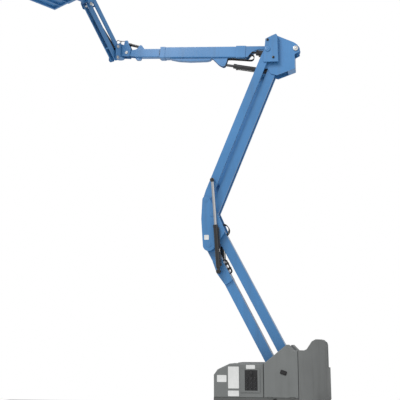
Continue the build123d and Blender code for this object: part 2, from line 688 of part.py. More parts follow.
def upper_link_rear():
    """Inner pair of bars, bossed out to the elbow's cheeks and joined by two tubes."""
    shape = upper_link(ELBOW_D, D_DEPTH, D_IN, D_OUT, 72)
    boss = pin(ELBOW_D, 62, D_OUT - 1, LOWER_BOSS_HALF) - pin(ELBOW_D, RISER_PIN_R + PIN_CLEAR, 0, C_OUT + 20)
    shape += both(boss)
    for along in (320, 1050):
        shape += pin(polar(ELBOW_D, along, UPPER_DEG), 40, -D_IN - 2, D_IN + 2)
    return shape


def riser_head():
    """Twin-walled head: outer cheeks for the front links, inner plates for boom, rear links and cylinders."""
    inner_out = HEAD_IN + HEAD_PLATE
    cheek = outline(around(HEAD_C, (80, -225), (35, 190), (-65, 235), (-147, 264), (-169, 232), (-175, -238)))
    shape = both(slab(cheek, ELBOW_IN, ELBOW_OUT))
    inner = outline(around(HEAD_C, (65, -225), (35, 190), (-65, 235), (-147, 264), (-444, 112), (-505, 60),
                           (-525, -60), (-448, -100), (-448, -355), (-141, -455), (-35, -420)), 18)
    shape += both(slab(inner, HEAD_IN, inner_out))
    rear_edge = outline(around(HEAD_C, (-175, -238), (-159, -238), (-159, 228), (-175, 228)))
    rear_web = slab(rear_edge, inner_out - 1, ELBOW_IN + 1)
    top_edge = outline(around(HEAD_C, (35, 188), (-65, 233), (-147, 262), (-165, 235), (-153, 240),
                              (-69, 217), (29, 172)))
    top_web = slab(top_edge, inner_out - 1, ELBOW_IN + 1)
    shape += both(rear_web + top_web)
    brace_low, brace_high = around(HEAD_C, (-311, -350), (-311, -150))
    ears = hull(disc(42, MASTER_FOOT), disc(46, LIFT_FOOT), disc(26, brace_low), disc(26, brace_high))
    shape += both(slab(ears, EAR_IN, EAR_OUT))
    brace = outline(around(HEAD_C, (-339, -384), (-323, -390), (-323, -120), (-339, -120)))
    back = outline(around(HEAD_C, (-448, -349), (-436, -354), (-436, -120), (-448, -120)))
    floor = outline(around(HEAD_C, (-447, -343), (-447, -355), (-323, -395), (-323, -383)))
    for plate in (brace, back, floor):
        shape += slab(plate, -HEAD_IN - 1, HEAD_IN + 1)
    shape += both(pin(HEAD_C, RISER_PIN_R, HEAD_IN, ELBOW_OUT + 4))
    shape += both(pin(HEAD_D, RISER_PIN_R, EAR_IN, inner_out + 4))
    shape += pin(BOOM_PIVOT, RISER_PIN_R, -inner_out - 6, inner_out + 6)
    shape += pin(LIFT_FOOT, 22, -EAR_OUT - 3, EAR_OUT + 3)
    return shape + pin(MASTER_FOOT, 20, -EAR_OUT - 3, EAR_OUT + 3)


def boom_local(point):
    """A side view point as its place along and above the boom's axis."""
    reach, angle = span(BOOM_ORIGIN, point)
    return polar((0, 0), reach, angle - BOOM_DEG)


def boom_slab(sketch, y_low, y_high):
    """A plate drawn along the boom's axis."""
    return slab(sketch, y_low, y_high, BOOM_ORIGIN, BOOM_DEG)


def boom_box(start, end, depth, y_half, radius=0):
    """A box along the boom's axis, its long edges rounded if a radius is given."""
    turn = radians(BOOM_DEG)
    first = polar(BOOM_ORIGIN, start, BOOM_DEG)
    plane = Plane(origin=(first[0], 0, first[1]), x_dir=(0, 1, 0), z_dir=(cos(turn), 0, sin(turn)))
    section = RectangleRounded(2 * y_half, depth, radius) if radius else Rectangle(2 * y_half, depth)
    return extrude(plane * section, amount=end - start)


def boom_tube():
    """Outer boom: box tube, forked tail to the pivot, collars and the lift lug."""
    half = BOOM_DEPTH / 2
    shape = boom_box(BOOM_START, BOOM_END, BOOM_DEPTH, BOOM_HALF, BOOM_ROUND)
    shape += boom_box(BOOM_START + 10, BOOM_START + 180, BOOM_DEPTH + 22, BOOM_HALF + 10, BOOM_ROUND)
    shape += boom_box(BOOM_END - 90, BOOM_END, BOOM_DEPTH + 12, BOOM_HALF + 6, BOOM_ROUND)
    shape -= boom_box(BOOM_START - 1, BOOM_END - 40, BOOM_DEPTH - 2 * BOOM_WALL, BOOM_HALF - BOOM_WALL)
    shape -= boom_box(BOOM_START, BOOM_END + 1, EXT_DEPTH + 2 * SLIDE_CLEAR, EXT_HALF + SLIDE_CLEAR)
    pivot = boom_local(BOOM_PIVOT)
    tail = outline([(BOOM_START + 60, half), (40, half), (0, 60), (90, 22), (BOOM_START - 220, 46),
                    (BOOM_START - 100, 0), (BOOM_START - 24, -half), (BOOM_START + 60, -half)])
    fork = boom_slab(tail, TAIL_IN, BOOM_HALF)
    fork += boom_slab(hull(disc(66, pivot), disc(36, (170, 60))), TAIL_IN, BOOM_HALF)
    fork += pin(BOOM_PIVOT, 54, TAIL_IN, HEAD_IN - 4)
    fork -= pin(BOOM_PIVOT, RISER_PIN_R + PIN_CLEAR, 0, HEAD_IN)
    shape += both(fork)
    eye = boom_local(LIFT_EYE)
    lug = hull(disc(46, eye), disc(8, (eye[0] - 70, -half + 4)), disc(8, (eye[0] + 200, -half + 4)),
               disc(30, (eye[0] + 60, eye[1] + 14)))
    shape += both(boom_slab(lug, 34, 46) - boom_box(0, BOOM_END, BOOM_DEPTH - 10, BOOM_HALF))
    shape += both(pin(LIFT_EYE, 22, 34, 50))
    return shape + both(pin(MASTER_EYE, 18, 30, BOOM_HALF))


def boom_fairing():
    """Belly fairing over the hoses under the boom."""
    half = BOOM_DEPTH / 2
    shares = ((0.04, 0.6), (0.12, 0.85), (0.5, 1), (0.766, 0.8), (0.948, 0.32), (1, 0))
    lower = [(FAIRING_START + share * FAIRING_LEN, -half - drop * FAIRING_DROP) for share, drop in shares]
    belly = outline([(FAIRING_START, -half), *lower])
    inner = offset(belly, -8)
    return boom_slab(belly, -46, 46) - boom_slab(inner, -38, 38)


def extension_tube():
    """Inner boom tube with tip ears and the slave cylinder's lug."""
    tip = boom_local(TIP_PIVOT)
    foot = boom_local(SLAVE_FOOT)
    half = EXT_DEPTH / 2
    shape = boom_box(EXT_START, EXT_END, EXT_DEPTH, EXT_HALF, EXT_WALL)
    shape -= boom_box(EXT_START - 1, EXT_END - 14, EXT_DEPTH - 2 * EXT_WALL, EXT_HALF - EXT_WALL)
    ear = hull(disc(46, tip), disc(half, (EXT_END - half, 0)))
    shape += both(boom_slab(ear, 36, 50))
    lug = hull(disc(30, foot), disc(8, (foot[0] - 70, half + 2)), disc(8, (foot[0] + 60, half + 2)))
    shape += both(boom_slab(lug, 26, 36))
    shape += pin(SLAVE_FOOT, 15, -38, 38)
    shape += pin(TIP_PIVOT, 24, -BRACKET_OUT - 4, BRACKET_OUT + 4)
    return shape


def level_bracket():
    """Two cheeks on the tip pin, the levelling lever and the jib rotator's housing."""
    ahead = SWING_AHEAD
    rise = ROTATOR_H - ROTATOR_DROP - 2
    cheek = outline(around(TIP_PIVOT, (-48, -72), (-84, 66), (-44, 151), (-22, 231), (32, 231), (50, rise),
                           (ahead, rise), (ahead, 2 - ROTATOR_DROP), (60, 2 - ROTATOR_DROP)), 16)
    shape = both(slab(cheek, BRACKET_IN, BRACKET_OUT))
    shape -= pin(TIP_PIVOT, 24 + PIN_CLEAR, -BRACKET_OUT - 1, BRACKET_OUT + 1)
    shape += both(pin(SLAVE_EYE, 15, 26, BRACKET_OUT + 3))
    shape += post(SWING_X, 0, ROTATOR_LOW, ROTATOR_HIGH, ROTATOR_R)
    return shape - post(SWING_X, 0, ROTATOR_LOW - 1, ROTATOR_HIGH + 1, SPINDLE_R + PIN_CLEAR)


def jib_swing():
    """Swinging yoke: spindle, two caps, web and cheeks with the jib's foot pins."""
    low = ROTATOR_LOW - CAP_GAP - CAP
    high = ROTATOR_HIGH + CAP_GAP
    web = ROTATOR_R + 8
    cap = Circle(ROTATOR_R - 4) + Pos(web / 2, 0) * Rectangle(web + 12, 2 * ROTATOR_R - 8)
    shape = Pos(0, 0, low) * extrude(cap, amount=CAP)
    shape += Pos(0, 0, high) * extrude(cap, amount=CAP)
    shape += post(0, 0, low, high + CAP, SPINDLE_R)
    shape += block(web, web + 12, -YOKE_OUT, YOKE_OUT, low, high + CAP)
    cheek = hull(disc(40, JIB_FOOT_LOW), disc(40, JIB_FOOT_HIGH), disc(9, (web + 10, low + 9)),
                 disc(9, (web + 10, high + CAP - 9)))
    shape += both(slab(cheek, YOKE_IN, YOKE_OUT))
    shape += both(pin(JIB_FOOT_LOW, JIB_PIN_R, JIB_LOW_IN - 4, YOKE_OUT + 4))
    return shape + pin(JIB_FOOT_HIGH, JIB_PIN_R, -YOKE_OUT - 4, YOKE_OUT + 4)


def jib_link(foot, y_low, y_high, tie_along, tie_off):
    """A pair of jib bars with bored ends and a tie tube."""
    bar = slab(hull(disc(JIB_LINK_R), disc(JIB_LINK_R, (JIB_LEN, 0))), y_low, y_high, foot, JIB_DEG)
    for along in (0, JIB_LEN):
        bar -= pin(polar(foot, along, JIB_DEG), JIB_PIN_R + PIN_CLEAR, 0, YOKE_OUT)
    return both(bar) + pin(local(foot, JIB_DEG, tie_along, tie_off), 15, -y_low - 2, y_low + 2)


def jib_head():
    """Level head at the jib's end: cheeks with the head pins and the platform rotator's housing."""
    web = JIB_HEAD_LOW[0] + JIB_LINK_R + 14
    cheek = hull(disc(40, JIB_HEAD_LOW), disc(40, JIB_HEAD_HIGH), disc(9, (web + 3, JIB_HEAD_LOW[1] + 40)),
                 disc(9, (web + 3, JIB_HEAD_HIGH[1] + 20)))
    shape = both(slab(cheek, YOKE_IN, YOKE_OUT))
    shape += block(web, web + 12, -YOKE_OUT, YOKE_OUT, JIB_HEAD_LOW[1] + 31, JIB_HEAD_HIGH[1] + 29)
    shape += both(pin(JIB_HEAD_LOW, JIB_PIN_R, JIB_LOW_IN - 4, YOKE_OUT + 4))
    shape += pin(JIB_HEAD_HIGH, JIB_PIN_R, -YOKE_OUT - 4, YOKE_OUT + 4)
    shape += post(TURN_F, 0, TURN_LOW, TURN_HIGH, TURN_R)
    shape += block(web + 2, TURN_F, -36, 36, TURN_LOW, TURN_HIGH)
    return shape - post(TURN_F, 0, TURN_LOW - 1, TURN_HIGH + 1, 24 + PIN_CLEAR)


def platform_mount():
    """Yoke around the platform rotator, with an upright plate and a foot under the floor."""
    low = TURN_LOW - CAP_GAP - CAP
    high = TURN_HIGH + CAP_GAP
    arm = Pos((TURN_F + REAR_F) / 2 - 4, 0) * Rectangle(REAR_F - TURN_F - 8, 2 * TURN_ARM)
    plan = Pos(TURN_F, 0) * Circle(TURN_ARM) + arm
    shape = Pos(0, 0, low) * extrude(plan, amount=CAP) + Pos(0, 0, high) * extrude(plan, amount=CAP)
    shape += post(TURN_F, 0, low, high + CAP, 24)
    return shape + block(REAR_F - 20, REAR_F, -210, 210, FLOOR_LOW, high + 60)


def platform_floor():
    """Floor pan: plate on a channel frame with cross ribs below, toe boards around it."""
    shape = block(REAR_F, FRONT_F, -FLOOR_HALF, FLOOR_HALF, FLOOR_TOP - FLOOR_PLATE, FLOOR_TOP)
    rim_in = block(REAR_F + 34, FRONT_F - 34, -FLOOR_HALF + 34, FLOOR_HALF - 34, FLOOR_LOW - 1, FLOOR_TOP)
    shape += block(REAR_F, FRONT_F, -FLOOR_HALF, FLOOR_HALF, FLOOR_LOW, FLOOR_TOP - 1) - rim_in
    for i in range(RIB_COUNT):
        y = -FLOOR_HALF + (i + 1) * 2 * FLOOR_HALF / (RIB_COUNT + 1)
        shape += block(REAR_F + 33, FRONT_F - 33, y - 8, y + 8, FLOOR_LOW + 4, FLOOR_TOP - 1)
    toe = block(REAR_F, FRONT_F, -FLOOR_HALF, FLOOR_HALF, FLOOR_TOP - 1, FLOOR_TOP + TOE_H)
    toe -= block(REAR_F + 4, FRONT_F - 4, -FLOOR_HALF + 4, FLOOR_HALF - 4, 0, FLOOR_TOP + TOE_H + 1)
    toe -= block(GATE_START - 30, GATE_END + 30, FLOOR_HALF - 10, FLOOR_HALF + 1, FLOOR_TOP,
                 FLOOR_TOP + TOE_H + 1)
    return shape + toe


def platform_rails():
    """Guard rails: posts, top and middle rails on four sides, open at the gate, with its hinge lugs."""
    inset = RAIL_R + 5
    x_rear = REAR_F + inset
    x_front = FRONT_F - inset
    side = FLOOR_HALF - inset
    top = FLOOR_TOP + RAIL_TOP - RAIL_R
    posts = [(x_rear, side), (x_front, side), (x_rear, -side), (x_front, -side), (x_rear, 0), (x_front, 0),
             ((x_rear + x_front) / 2, -side), (GATE_START - RAIL_R - 8, side), (GATE_END + RAIL_R + 8, side)]
    shape = Part()
    for x, y in posts:
        shape += post(x, y, FLOOR_TOP, top, RAIL_R)
    corners = [(x_rear, side), (x_rear, -side), (x_front, -side), (x_front, side)]
    for height in (top, FLOOR_TOP + RAIL_MID):
        for start, end in zip(corners, corners[1:]):
            shape += tube_between((*start, height), (*end, height), RAIL_R - 1)
        for corner in corners:
            shape += Pos(corner[0], corner[1], height) * Sphere(RAIL_R)
    gaps = [(x_rear, GATE_START - RAIL_R - 8), (GATE_END + RAIL_R + 8, x_front)]
    for height in (top, FLOOR_TOP + RAIL_MID):
        for start, end in gaps:
            shape += tube_between((start, side, height), (end, side, height), RAIL_R - 1)
    for low, reach in ((FLOOR_TOP + 4, GATE_PIN), (top + 2, -GATE_PIN)):
        shape += block(GATE_END - 23, GATE_END + RAIL_R + 20, side - 12, side + 12, low, low + 10)
        shape += post(GATE_END - 8, side, min(low, low + reach), max(low, low + reach), GATE_PIN_R)
    return shape


def platform_gate():
    """Swing gate in the left side, hinged on its front post."""
    y = FLOOR_HALF - RAIL_R - 5
    top = FLOOR_TOP + RAIL_TOP - RAIL_R
    shape = Part()
    for x in (GATE_START + 16, GATE_END - 8):
        shape += post(x, y, FLOOR_TOP + 16, top, 15)
    for height in (top - 15, FLOOR_TOP + RAIL_MID, FLOOR_TOP + 150):
        shape += tube_between((GATE_START + 16, y, height), (GATE_END - 8, y, height), 14)
    shape += block(GATE_START + 16, GATE_END - 8, y - 3, y + 3, FLOOR_TOP + 16, FLOOR_TOP + 152)
    for low, high in ((FLOOR_TOP + 15, FLOOR_TOP + GATE_PIN + 8), (top - GATE_PIN - 2, top + 1)):
        shape -= post(GATE_END - 8, y, low, high, GATE_PIN_R + PIN_CLEAR)
    return shape


def platform_controls():
    """Console on the front rail with a sloped face and two levers."""
    top = FLOOR_TOP + RAIL_TOP
    face = FRONT_F - 5
    profile = outline([(face - 150, top - 1), (face - 150, top + 30), (face - 40, top + 130),
                       (face + 60, top + 130), (face + 60, top - 150), (face, top - 150), (face, top - 1)])
    shape = slab(profile, -240, 240)
    for y in (-120, 120):
        shape += tube_between((face - 90, y, top + 70), (face - 130, y, top + 140), 9)
    return shape


def wheels():
    """Tyres and rims at the four corners, by name."""
    corners = {"front_left": (1, 1), "front_right": (1, -1), "rear_left": (-1, 1), "rear_right": (-1, -1)}
    named = {}
    for name, (end, side) in corners.items():
        named["tyre_" + name] = tyre(end * WHEEL_X, side * WHEEL_Y)
        named["rim_" + name] = rim(end * WHEEL_X, side)
    return named


def build():
    """Every node of the machine, by name."""
    parts = wheels()
    parts["chassis_frame"] = chassis_frame()
    parts["sponson_left"] = chassis_sponson()
    parts["sponson_right"] = mirror(chassis_sponson(), about=Plane.XZ)
    parts["front_axle"] = front_axle()
    parts["rear_axle"] = rear_axle()
    parts["knuckle_left"] = knuckle()
    parts["knuckle_right"] = mirror(knuckle(), about=Plane.XZ)
    parts["tie_rod"] = tie_rod()
    ring = Circle(RING_OUT) - Circle(RING_IN)
    parts["slew_ring"] = Pos(0, 0, FRAME_TOP) * extrude(ring, amount=RING_TOP - FRAME_TOP)
    parts["turntable_base"] = turntable_base()
    parts["counterweight"] = counterweight()
    parts["front_housing_left"] = front_housing()
    parts["front_housing_right"] = mirror(front_housing(), about=Plane.XZ)
    parts["cover_left"] = side_cover()
    parts["cover_right"] = mirror(side_cover(), about=Plane.XZ)
    parts["battery_packs"] = battery_packs()
    parts["ground_controls"] = ground_controls()
    parts["lower_arm_front"] = lower_arm_front()
    parts["lower_arm_rear"] = lower_arm(POST_REAR)
    parts["riser_hoses"] = riser_hoses()
    parts["elbow"] = elbow()
    parts["upper_link_front"] = upper_link_front()
    parts["upper_link_rear"] = upper_link_rear()
    parts["riser_head"] = riser_head()
    parts["riser_cylinder_barrels"] = both(cylinder_barrel(
        RISER_FOOT, RISER_EYE, RISER_BARREL_SHARE * RISER_PINS, RISER_CYL_R, RISER_ROD_R, 30, RISER_CYL_PIN,
        RISER_CYL_Y, 1))
    parts["riser_cylinder_rods"] = both(cylinder_rod(
        RISER_FOOT, RISER_EYE, RISER_ROD_SHARE * RISER_PINS, RISER_ROD_R, 30, RISER_CYL_PIN, RISER_CYL_Y, 12))
    parts["boom_tube"] = boom_tube()
    parts["boom_fairing"] = boom_fairing()
    parts["extension_tube"] = extension_tube()
    parts["lift_cylinder_barrel"] = cylinder_barrel(
        LIFT_FOOT, LIFT_EYE, LIFT_BARREL_SHARE * LIFT_PINS, LIFT_R, LIFT_ROD_R, 32, 22, 0, -1)
    parts["lift_cylinder_rod"] = cylinder_rod(
        LIFT_FOOT, LIFT_EYE, LIFT_ROD_SHARE * LIFT_PINS, LIFT_ROD_R, 30, 22)
    parts["master_cylinder_barrel"] = cylinder_barrel(
        MASTER_FOOT, MASTER_EYE, MASTER_BARREL_SHARE * MASTER_PINS, MASTER_R, MASTER_ROD_R, 32, 20, 0, -1)
    parts["master_cylinder_rod"] = cylinder_rod(
        MASTER_FOOT, MASTER_EYE, MASTER_ROD_SHARE * MASTER_PINS, MASTER_ROD_R, 26, 18)
    parts["slave_cylinder_barrel"] = cylinder_barrel(
        SLAVE_FOOT, SLAVE_EYE, SLAVE_BARREL_SHARE * SLAVE_PINS, SLAVE_R, SLAVE_ROD_R, 22, 15)
    parts["slave_cylinder_rod"] = cylinder_rod(
        SLAVE_FOOT, SLAVE_EYE, SLAVE_ROD_SHARE * SLAVE_PINS, SLAVE_ROD_R, 22, 15)
    parts["level_bracket"] = level_bracket()
    parts["jib_swing"] = JIB_PLACE * jib_swing()
    parts["jib_lower_link"] = JIB_PLACE * jib_link(JIB_FOOT_LOW, JIB_LOW_IN, JIB_LOW_OUT, 220, -26)
    parts["jib_upper_link"] = JIB_PLACE * jib_link(JIB_FOOT_HIGH, JIB_HIGH_IN, JIB_HIGH_OUT, 800, 26)
    parts["jib_cylinder_barrel"] = JIB_PLACE * cylinder_barrel(
        JIB_FOOT_HIGH, JIB_HEAD_LOW, JIB_BARREL_SHARE * JIB_PINS, JIB_CYL_R, JIB_ROD_R, 30, JIB_PIN_R)
    parts["jib_cylinder_rod"] = JIB_PLACE * cylinder_rod(
        JIB_FOOT_HIGH, JIB_HEAD_LOW, JIB_ROD_SHARE * JIB_PINS, JIB_ROD_R, 30, JIB_PIN_R)
    parts["jib_head"] = JIB_PLACE * jib_head()
    parts["platform_mount"] = JIB_PLACE * platform_mount()
    parts["platform_floor"] = JIB_PLACE * platform_floor()
    parts["platform_rails"] = JIB_PLACE * platform_rails()
    parts["platform_gate"] = JIB_PLACE * platform_gate()
    parts["platform_controls"] = JIB_PLACE * platform_controls()
    return parts


def main():
    os.makedirs("parts", exist_ok=True)
    for name, shape in build().items():
        export_step(shape, "parts/" + name + ".step")


if __name__ == "__main__":
    main()
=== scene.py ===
import json
from math import atan2, cos, pi, radians, sin

import bmesh
import bpy
from bpy.props import FloatProperty, FloatVectorProperty, IntProperty, PointerProperty
from bpy.types import Operator, Panel, PropertyGroup
from mathutils import Matrix, Vector


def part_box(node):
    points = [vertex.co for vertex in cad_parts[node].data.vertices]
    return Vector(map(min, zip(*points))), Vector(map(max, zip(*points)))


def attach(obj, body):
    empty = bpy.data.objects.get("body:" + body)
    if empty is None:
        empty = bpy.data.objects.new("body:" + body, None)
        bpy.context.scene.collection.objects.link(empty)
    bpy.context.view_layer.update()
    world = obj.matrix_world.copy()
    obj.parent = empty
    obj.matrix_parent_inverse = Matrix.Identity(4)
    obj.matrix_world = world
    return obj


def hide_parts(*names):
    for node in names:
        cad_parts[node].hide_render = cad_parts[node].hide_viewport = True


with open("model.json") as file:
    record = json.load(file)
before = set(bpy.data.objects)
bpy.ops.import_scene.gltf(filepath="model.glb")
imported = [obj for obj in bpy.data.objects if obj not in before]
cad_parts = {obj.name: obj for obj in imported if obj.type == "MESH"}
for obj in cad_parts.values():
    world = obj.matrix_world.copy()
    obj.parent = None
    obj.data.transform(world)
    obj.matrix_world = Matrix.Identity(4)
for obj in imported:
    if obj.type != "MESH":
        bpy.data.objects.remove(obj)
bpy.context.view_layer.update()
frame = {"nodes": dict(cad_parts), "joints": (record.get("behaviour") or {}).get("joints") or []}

bl_info = {
    "name": "Boom Lift Dressing",
    "version": (1, 0, 0),
    "blender": (4, 5, 0),
    "location": "View3D > Sidebar > Boom Lift",
    "description": "Adds tyres, fasteners, hoses, plates and finishes to the packed boom lift",
    "category": "Object",
}

JOINT = {joint["name"]: joint for joint in frame["joints"]}
NODES = frame["nodes"]
CORNERS = ("front_left", "front_right", "rear_left", "rear_right")


def node_box(name):
    """Lowest and highest corner of a node, as vectors."""
    low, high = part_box(name)
    return Vector(low), Vector(high)


def joint_place(name):
    """Pivot of a joint and the unit vector along its axis."""
    return Vector(JOINT[name]["pos_m"]), Vector(JOINT[name]["axis"]).normalized()


TYRE_LOW, TYRE_HIGH = node_box("tyre_front_left")
RIM_LOW, RIM_HIGH = node_box("rim_front_left")
HOUSING_SIDE = node_box("front_housing_left")[1].y
SKIRT_SIDE = node_box("turntable_base")[1].y
HEAD_SIDE = node_box("riser_head")[1].y
RISER_ROD_SIDE = node_box("riser_cylinder_rods")[1].y
MERGE_DISTANCE = 0.00001


def length(name, description, default):
    """A length of the added pieces, in metres."""
    return FloatProperty(name=name, description=description, default=default, unit="LENGTH")


def tint(name, description, default):
    """A colour of the finishes."""
    return FloatVectorProperty(name=name, description=description, subtype="COLOR", size=3, default=default)


class LiftSizes(PropertyGroup):
    """Sizes of the added pieces, in metres."""

    tread_blocks: IntProperty(
        name="Tread blocks", description="Blocks around one tyre", default=60, min=24)
    tread_depth: length("Tread depth", "Depth of the tread grooves", 0.011)
    bead_radius: length(
        "Bead radius", "Inner radius of the tyre, on the rim's seat", (RIM_HIGH.z - RIM_LOW.z) / 2)
    nut_radius: length("Nut radius", "Wheel nut across its corners", 0.016)
    nut_circle: length("Nut circle", "Radius of the ring of wheel nuts", 0.106)
    nut_count: IntProperty(name="Wheel nuts", description="Nuts on one wheel", default=9, min=4)
    plate_thickness: length("Plate thickness", "Thickness of the blank sign plates", 0.002)
    cap_thickness: length("Pin cap thickness", "Height of a pin's keeper cap", 0.009)
    bolt_radius: length("Bolt radius", "Hexagon bolt head across its corners", 0.015)
    hose_diameter: length("Hose diameter", "Outside diameter of the free hoses", 0.012)
    floor_bars: IntProperty(
        name="Floor bars", description="Anti-slip bars on the platform floor", default=22, min=4)


class LiftColours(PropertyGroup):
    """Colours of the finishes."""

    boom_blue: tint("Boom blue", "Enamel on booms, links and platform", (0.058, 0.210, 0.455))
    cover_grey: tint("Cover grey", "Moulded covers and fairings", (0.178, 0.188, 0.186))
    cast_grey: tint("Casting grey", "Paint on the counterweight", (0.170, 0.178, 0.176))
    frame_dark: tint("Frame dark", "Enamel on chassis and deck", (0.055, 0.058, 0.062))
    skirt_grey: tint("Skirt grey", "Enamel on the turntable's deck and skirt", (0.098, 0.102, 0.101))
    rim_white: tint("Rim white", "Enamel on the wheels", (0.60, 0.60, 0.57))
    plate_white: tint("Plate white", "Blank sign plates", (0.78, 0.79, 0.78))
    stop_red: tint("Stop red", "Stop buttons", (0.45, 0.015, 0.012))
    floor_pale: tint("Studio floor", "Plain pale floor", (0.86, 0.86, 0.86))


# Modelling helpers
def clear_selection():
    """Leaves nothing selected, in object mode."""
    if bpy.context.object and bpy.context.object.mode != "OBJECT":
        bpy.ops.object.mode_set(mode="OBJECT")
    bpy.ops.object.select_all(action="DESELECT")


def settle(name):
    """Names the new primitive and puts its place into its mesh."""
    piece = bpy.context.active_object
    piece.name = name
    piece.data.name = name
    bpy.ops.object.transform_apply(location=True, rotation=True, scale=True)
    return piece


def add_round(name, radius, depth, sides, place, axis):
    """A many-sided bar to start from, its axis along Y or Z."""
    clear_selection()
    turn = {"Y": (-pi / 2, 0, 0), "Z": (0, 0, 0)}[axis]
    bpy.ops.mesh.primitive_cylinder_add(
        vertices=sides, radius=radius, depth=depth, location=place, rotation=turn)
    return settle(name)


def add_block(name, size, place):
    """A block to start from."""
    clear_selection()
    bpy.ops.mesh.primitive_cube_add(size=1, location=place, scale=size)
    return settle(name)


def open_edit(piece):
    """Opens a piece in edit mode."""
    clear_selection()
    piece.select_set(True)
    bpy.context.view_layer.objects.active = piece
    bpy.ops.object.mode_set(mode="EDIT")


def pick(piece, kind, test):
    """Selects the faces or edges whose place or normal passes a test."""
    bpy.ops.mesh.select_mode(type={"faces": "FACE", "edges": "EDGE"}[kind])
    bpy.ops.mesh.select_all(action="DESELECT")
    mesh = bmesh.from_edit_mesh(piece.data)
    for item in getattr(mesh, kind):
        if test(item):
            item.select_set(True)
    mesh.select_flush_mode()
    bmesh.update_edit_mesh(piece.data)


def middle(edge):
    """Middle point of an edge."""
    return (edge.verts[0].co + edge.verts[1].co) / 2


def facing(axis, sign=1):
    """A test for faces that look along an axis."""
    return lambda face: sign * face.normal["XYZ".index(axis)] > 0.9


def runs_along(axis, over):
    """A test for edges that run along an axis for more than a length."""
    row = "XYZ".index(axis)
    return lambda edge: abs(edge.verts[0].co[row] - edge.verts[1].co[row]) > over


def inset(thickness, depth=0.0, each=False):
    """Draws the picked faces in, and raises or sinks them."""
    bpy.ops.mesh.inset(thickness=thickness, depth=depth, use_individual=each)


def extrude(move):
    """Pulls the picked faces out."""
    bpy.ops.mesh.extrude_region_move(TRANSFORM_OT_translate={"value": move})


def bevel(width, segments):
    """Rounds the picked edges."""
    bpy.ops.mesh.bevel(offset=width, segments=segments, affect="EDGES")


def rounded_block(name, size, place, axis, width, segments):
    """A block left open in edit mode, with its edges along one axis rounded."""
    block = add_block(name, size, place)
    open_edit(block)
    pick(block, "edges", runs_along(axis, size["XYZ".index(axis)] * 0.9))
    bevel(width, segments)
    return block


def step_face(piece, axis, steps, sign=1):
    """Steps the face that looks along an axis, by the width and height of each step."""
    pick(piece, "faces", facing(axis, sign))
    for width, height in steps:
        inset(width, height)


def close_edit(piece, angle=32):
    """Merges doubles, turns faces outwards and smooths below an angle."""
    bpy.ops.mesh.select_all(action="SELECT")
    bpy.ops.mesh.remove_doubles(threshold=MERGE_DISTANCE)
    bpy.ops.mesh.normals_make_consistent(inside=False)
    if bmesh.from_edit_mesh(piece.data).calc_volume(signed=True) < 0:
        bpy.ops.mesh.flip_normals()
    bpy.ops.object.mode_set(mode="OBJECT")
    bpy.ops.object.shade_smooth_by_angle(angle=radians(angle))


def copy_of(piece, name, matrix):
    """A copy with its own mesh, moved by a matrix and turned outwards if the matrix mirrors."""
    twin = bpy.data.objects.new(name, piece.data.copy())
    twin.data.name = name
    twin.data.transform(matrix)
    if matrix.determinant() < 0:
        twin.data.flip_normals()
    bpy.context.scene.collection.objects.link(twin)
    return twin


def joined(pieces, name):
    """Several pieces made one object."""
    clear_selection()
    for piece in pieces:
        piece.select_set(True)
    bpy.context.view_layer.objects.active = pieces[0]
    bpy.ops.object.join()
    pieces[0].name = name
    pieces[0].data.name = name
    return pieces[0]


def fit(piece, body, finish):
    """Gives a finished piece its material, and lets it move with a body."""
    piece.data.materials.clear()
    piece.data.materials.append(bpy.data.materials[finish])
    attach(piece, body)


def mirror_y():
    """Mirrors a piece to the machine's other side."""
    return Matrix.Scale(-1, 4, (0, 1, 0))


def fit_pair(left, right_name, bodies, finish):
    """Fits a piece made for the left side, and its mirrored twin on the right."""
    right = copy_of(left, right_name, mirror_y())
    for piece, body in zip((left, right), bodies):
        fit(piece, body, finish)


def towards(place, axis):
    """Turns a piece modelled along +Y to an axis and moves it to a place."""
    turn = Vector((0, 1, 0)).rotation_difference(Vector(axis)).to_matrix().to_4x4()
    return Matrix.Translation(place) @ turn


# Shader node groups
def set_inputs(node, values):
    """Sets inputs of a shader node that nothing is linked to."""
    for label, value in values.items():
        node.inputs[label].default_value = value


def new_group(name, inputs, outputs):
    """A shader group with its sockets: the group, what it is given and what it gives."""
    group = bpy.data.node_groups.new(name, "ShaderNodeTree")
    for label, value in inputs.items():
        kind = "NodeSocketFloat" if isinstance(value, float) else "NodeSocketColor"
        group.interface.new_socket(name=label, in_out="INPUT", socket_type=kind).default_value = value
    for label, kind in outputs.items():
        group.interface.new_socket(name=label, in_out="OUTPUT", socket_type=kind)
    given, gives = group.nodes.new("NodeGroupInput"), group.nodes.new("NodeGroupOutput")
    return group, given.outputs, gives.inputs


def noise_in(group, coords, scale_socket=None, scale=1.0, detail=4.0, rough=0.55):
    """A noise texture in a group, on the given coordinates."""
    noise = group.nodes.new("ShaderNodeTexNoise")
    set_inputs(noise, {"Scale": scale, "Detail": detail, "Roughness": rough})
    group.links.new(coords, noise.inputs["Vector"])
    if scale_socket:
        group.links.new(scale_socket, noise.inputs["Scale"])
    return noise.outputs["Fac"]


def remap_in(group, value, low, high, to_low, to_high):
    """Stretches a value from one span to another, kept inside it."""
    node = group.nodes.new("ShaderNodeMapRange")
    for label, number in (("From Min", low), ("From Max", high), ("To Min", to_low), ("To Max", to_high)):
        if isinstance(number, float):
            node.inputs[label].default_value = number
        else:
            group.links.new(number, node.inputs[label])
    group.links.new(value, node.inputs["Value"])
    return node.outputs["Result"]


def mix_in(group, factor, first, second):
    """Mixes two colours by a factor."""
    node = group.nodes.new("ShaderNodeMix")
    node.data_type = "RGBA"
    group.links.new(factor, node.inputs["Factor"])
    group.links.new(first, node.inputs["A"])
    group.links.new(second, node.inputs["B"])
    return node.outputs["Result"]


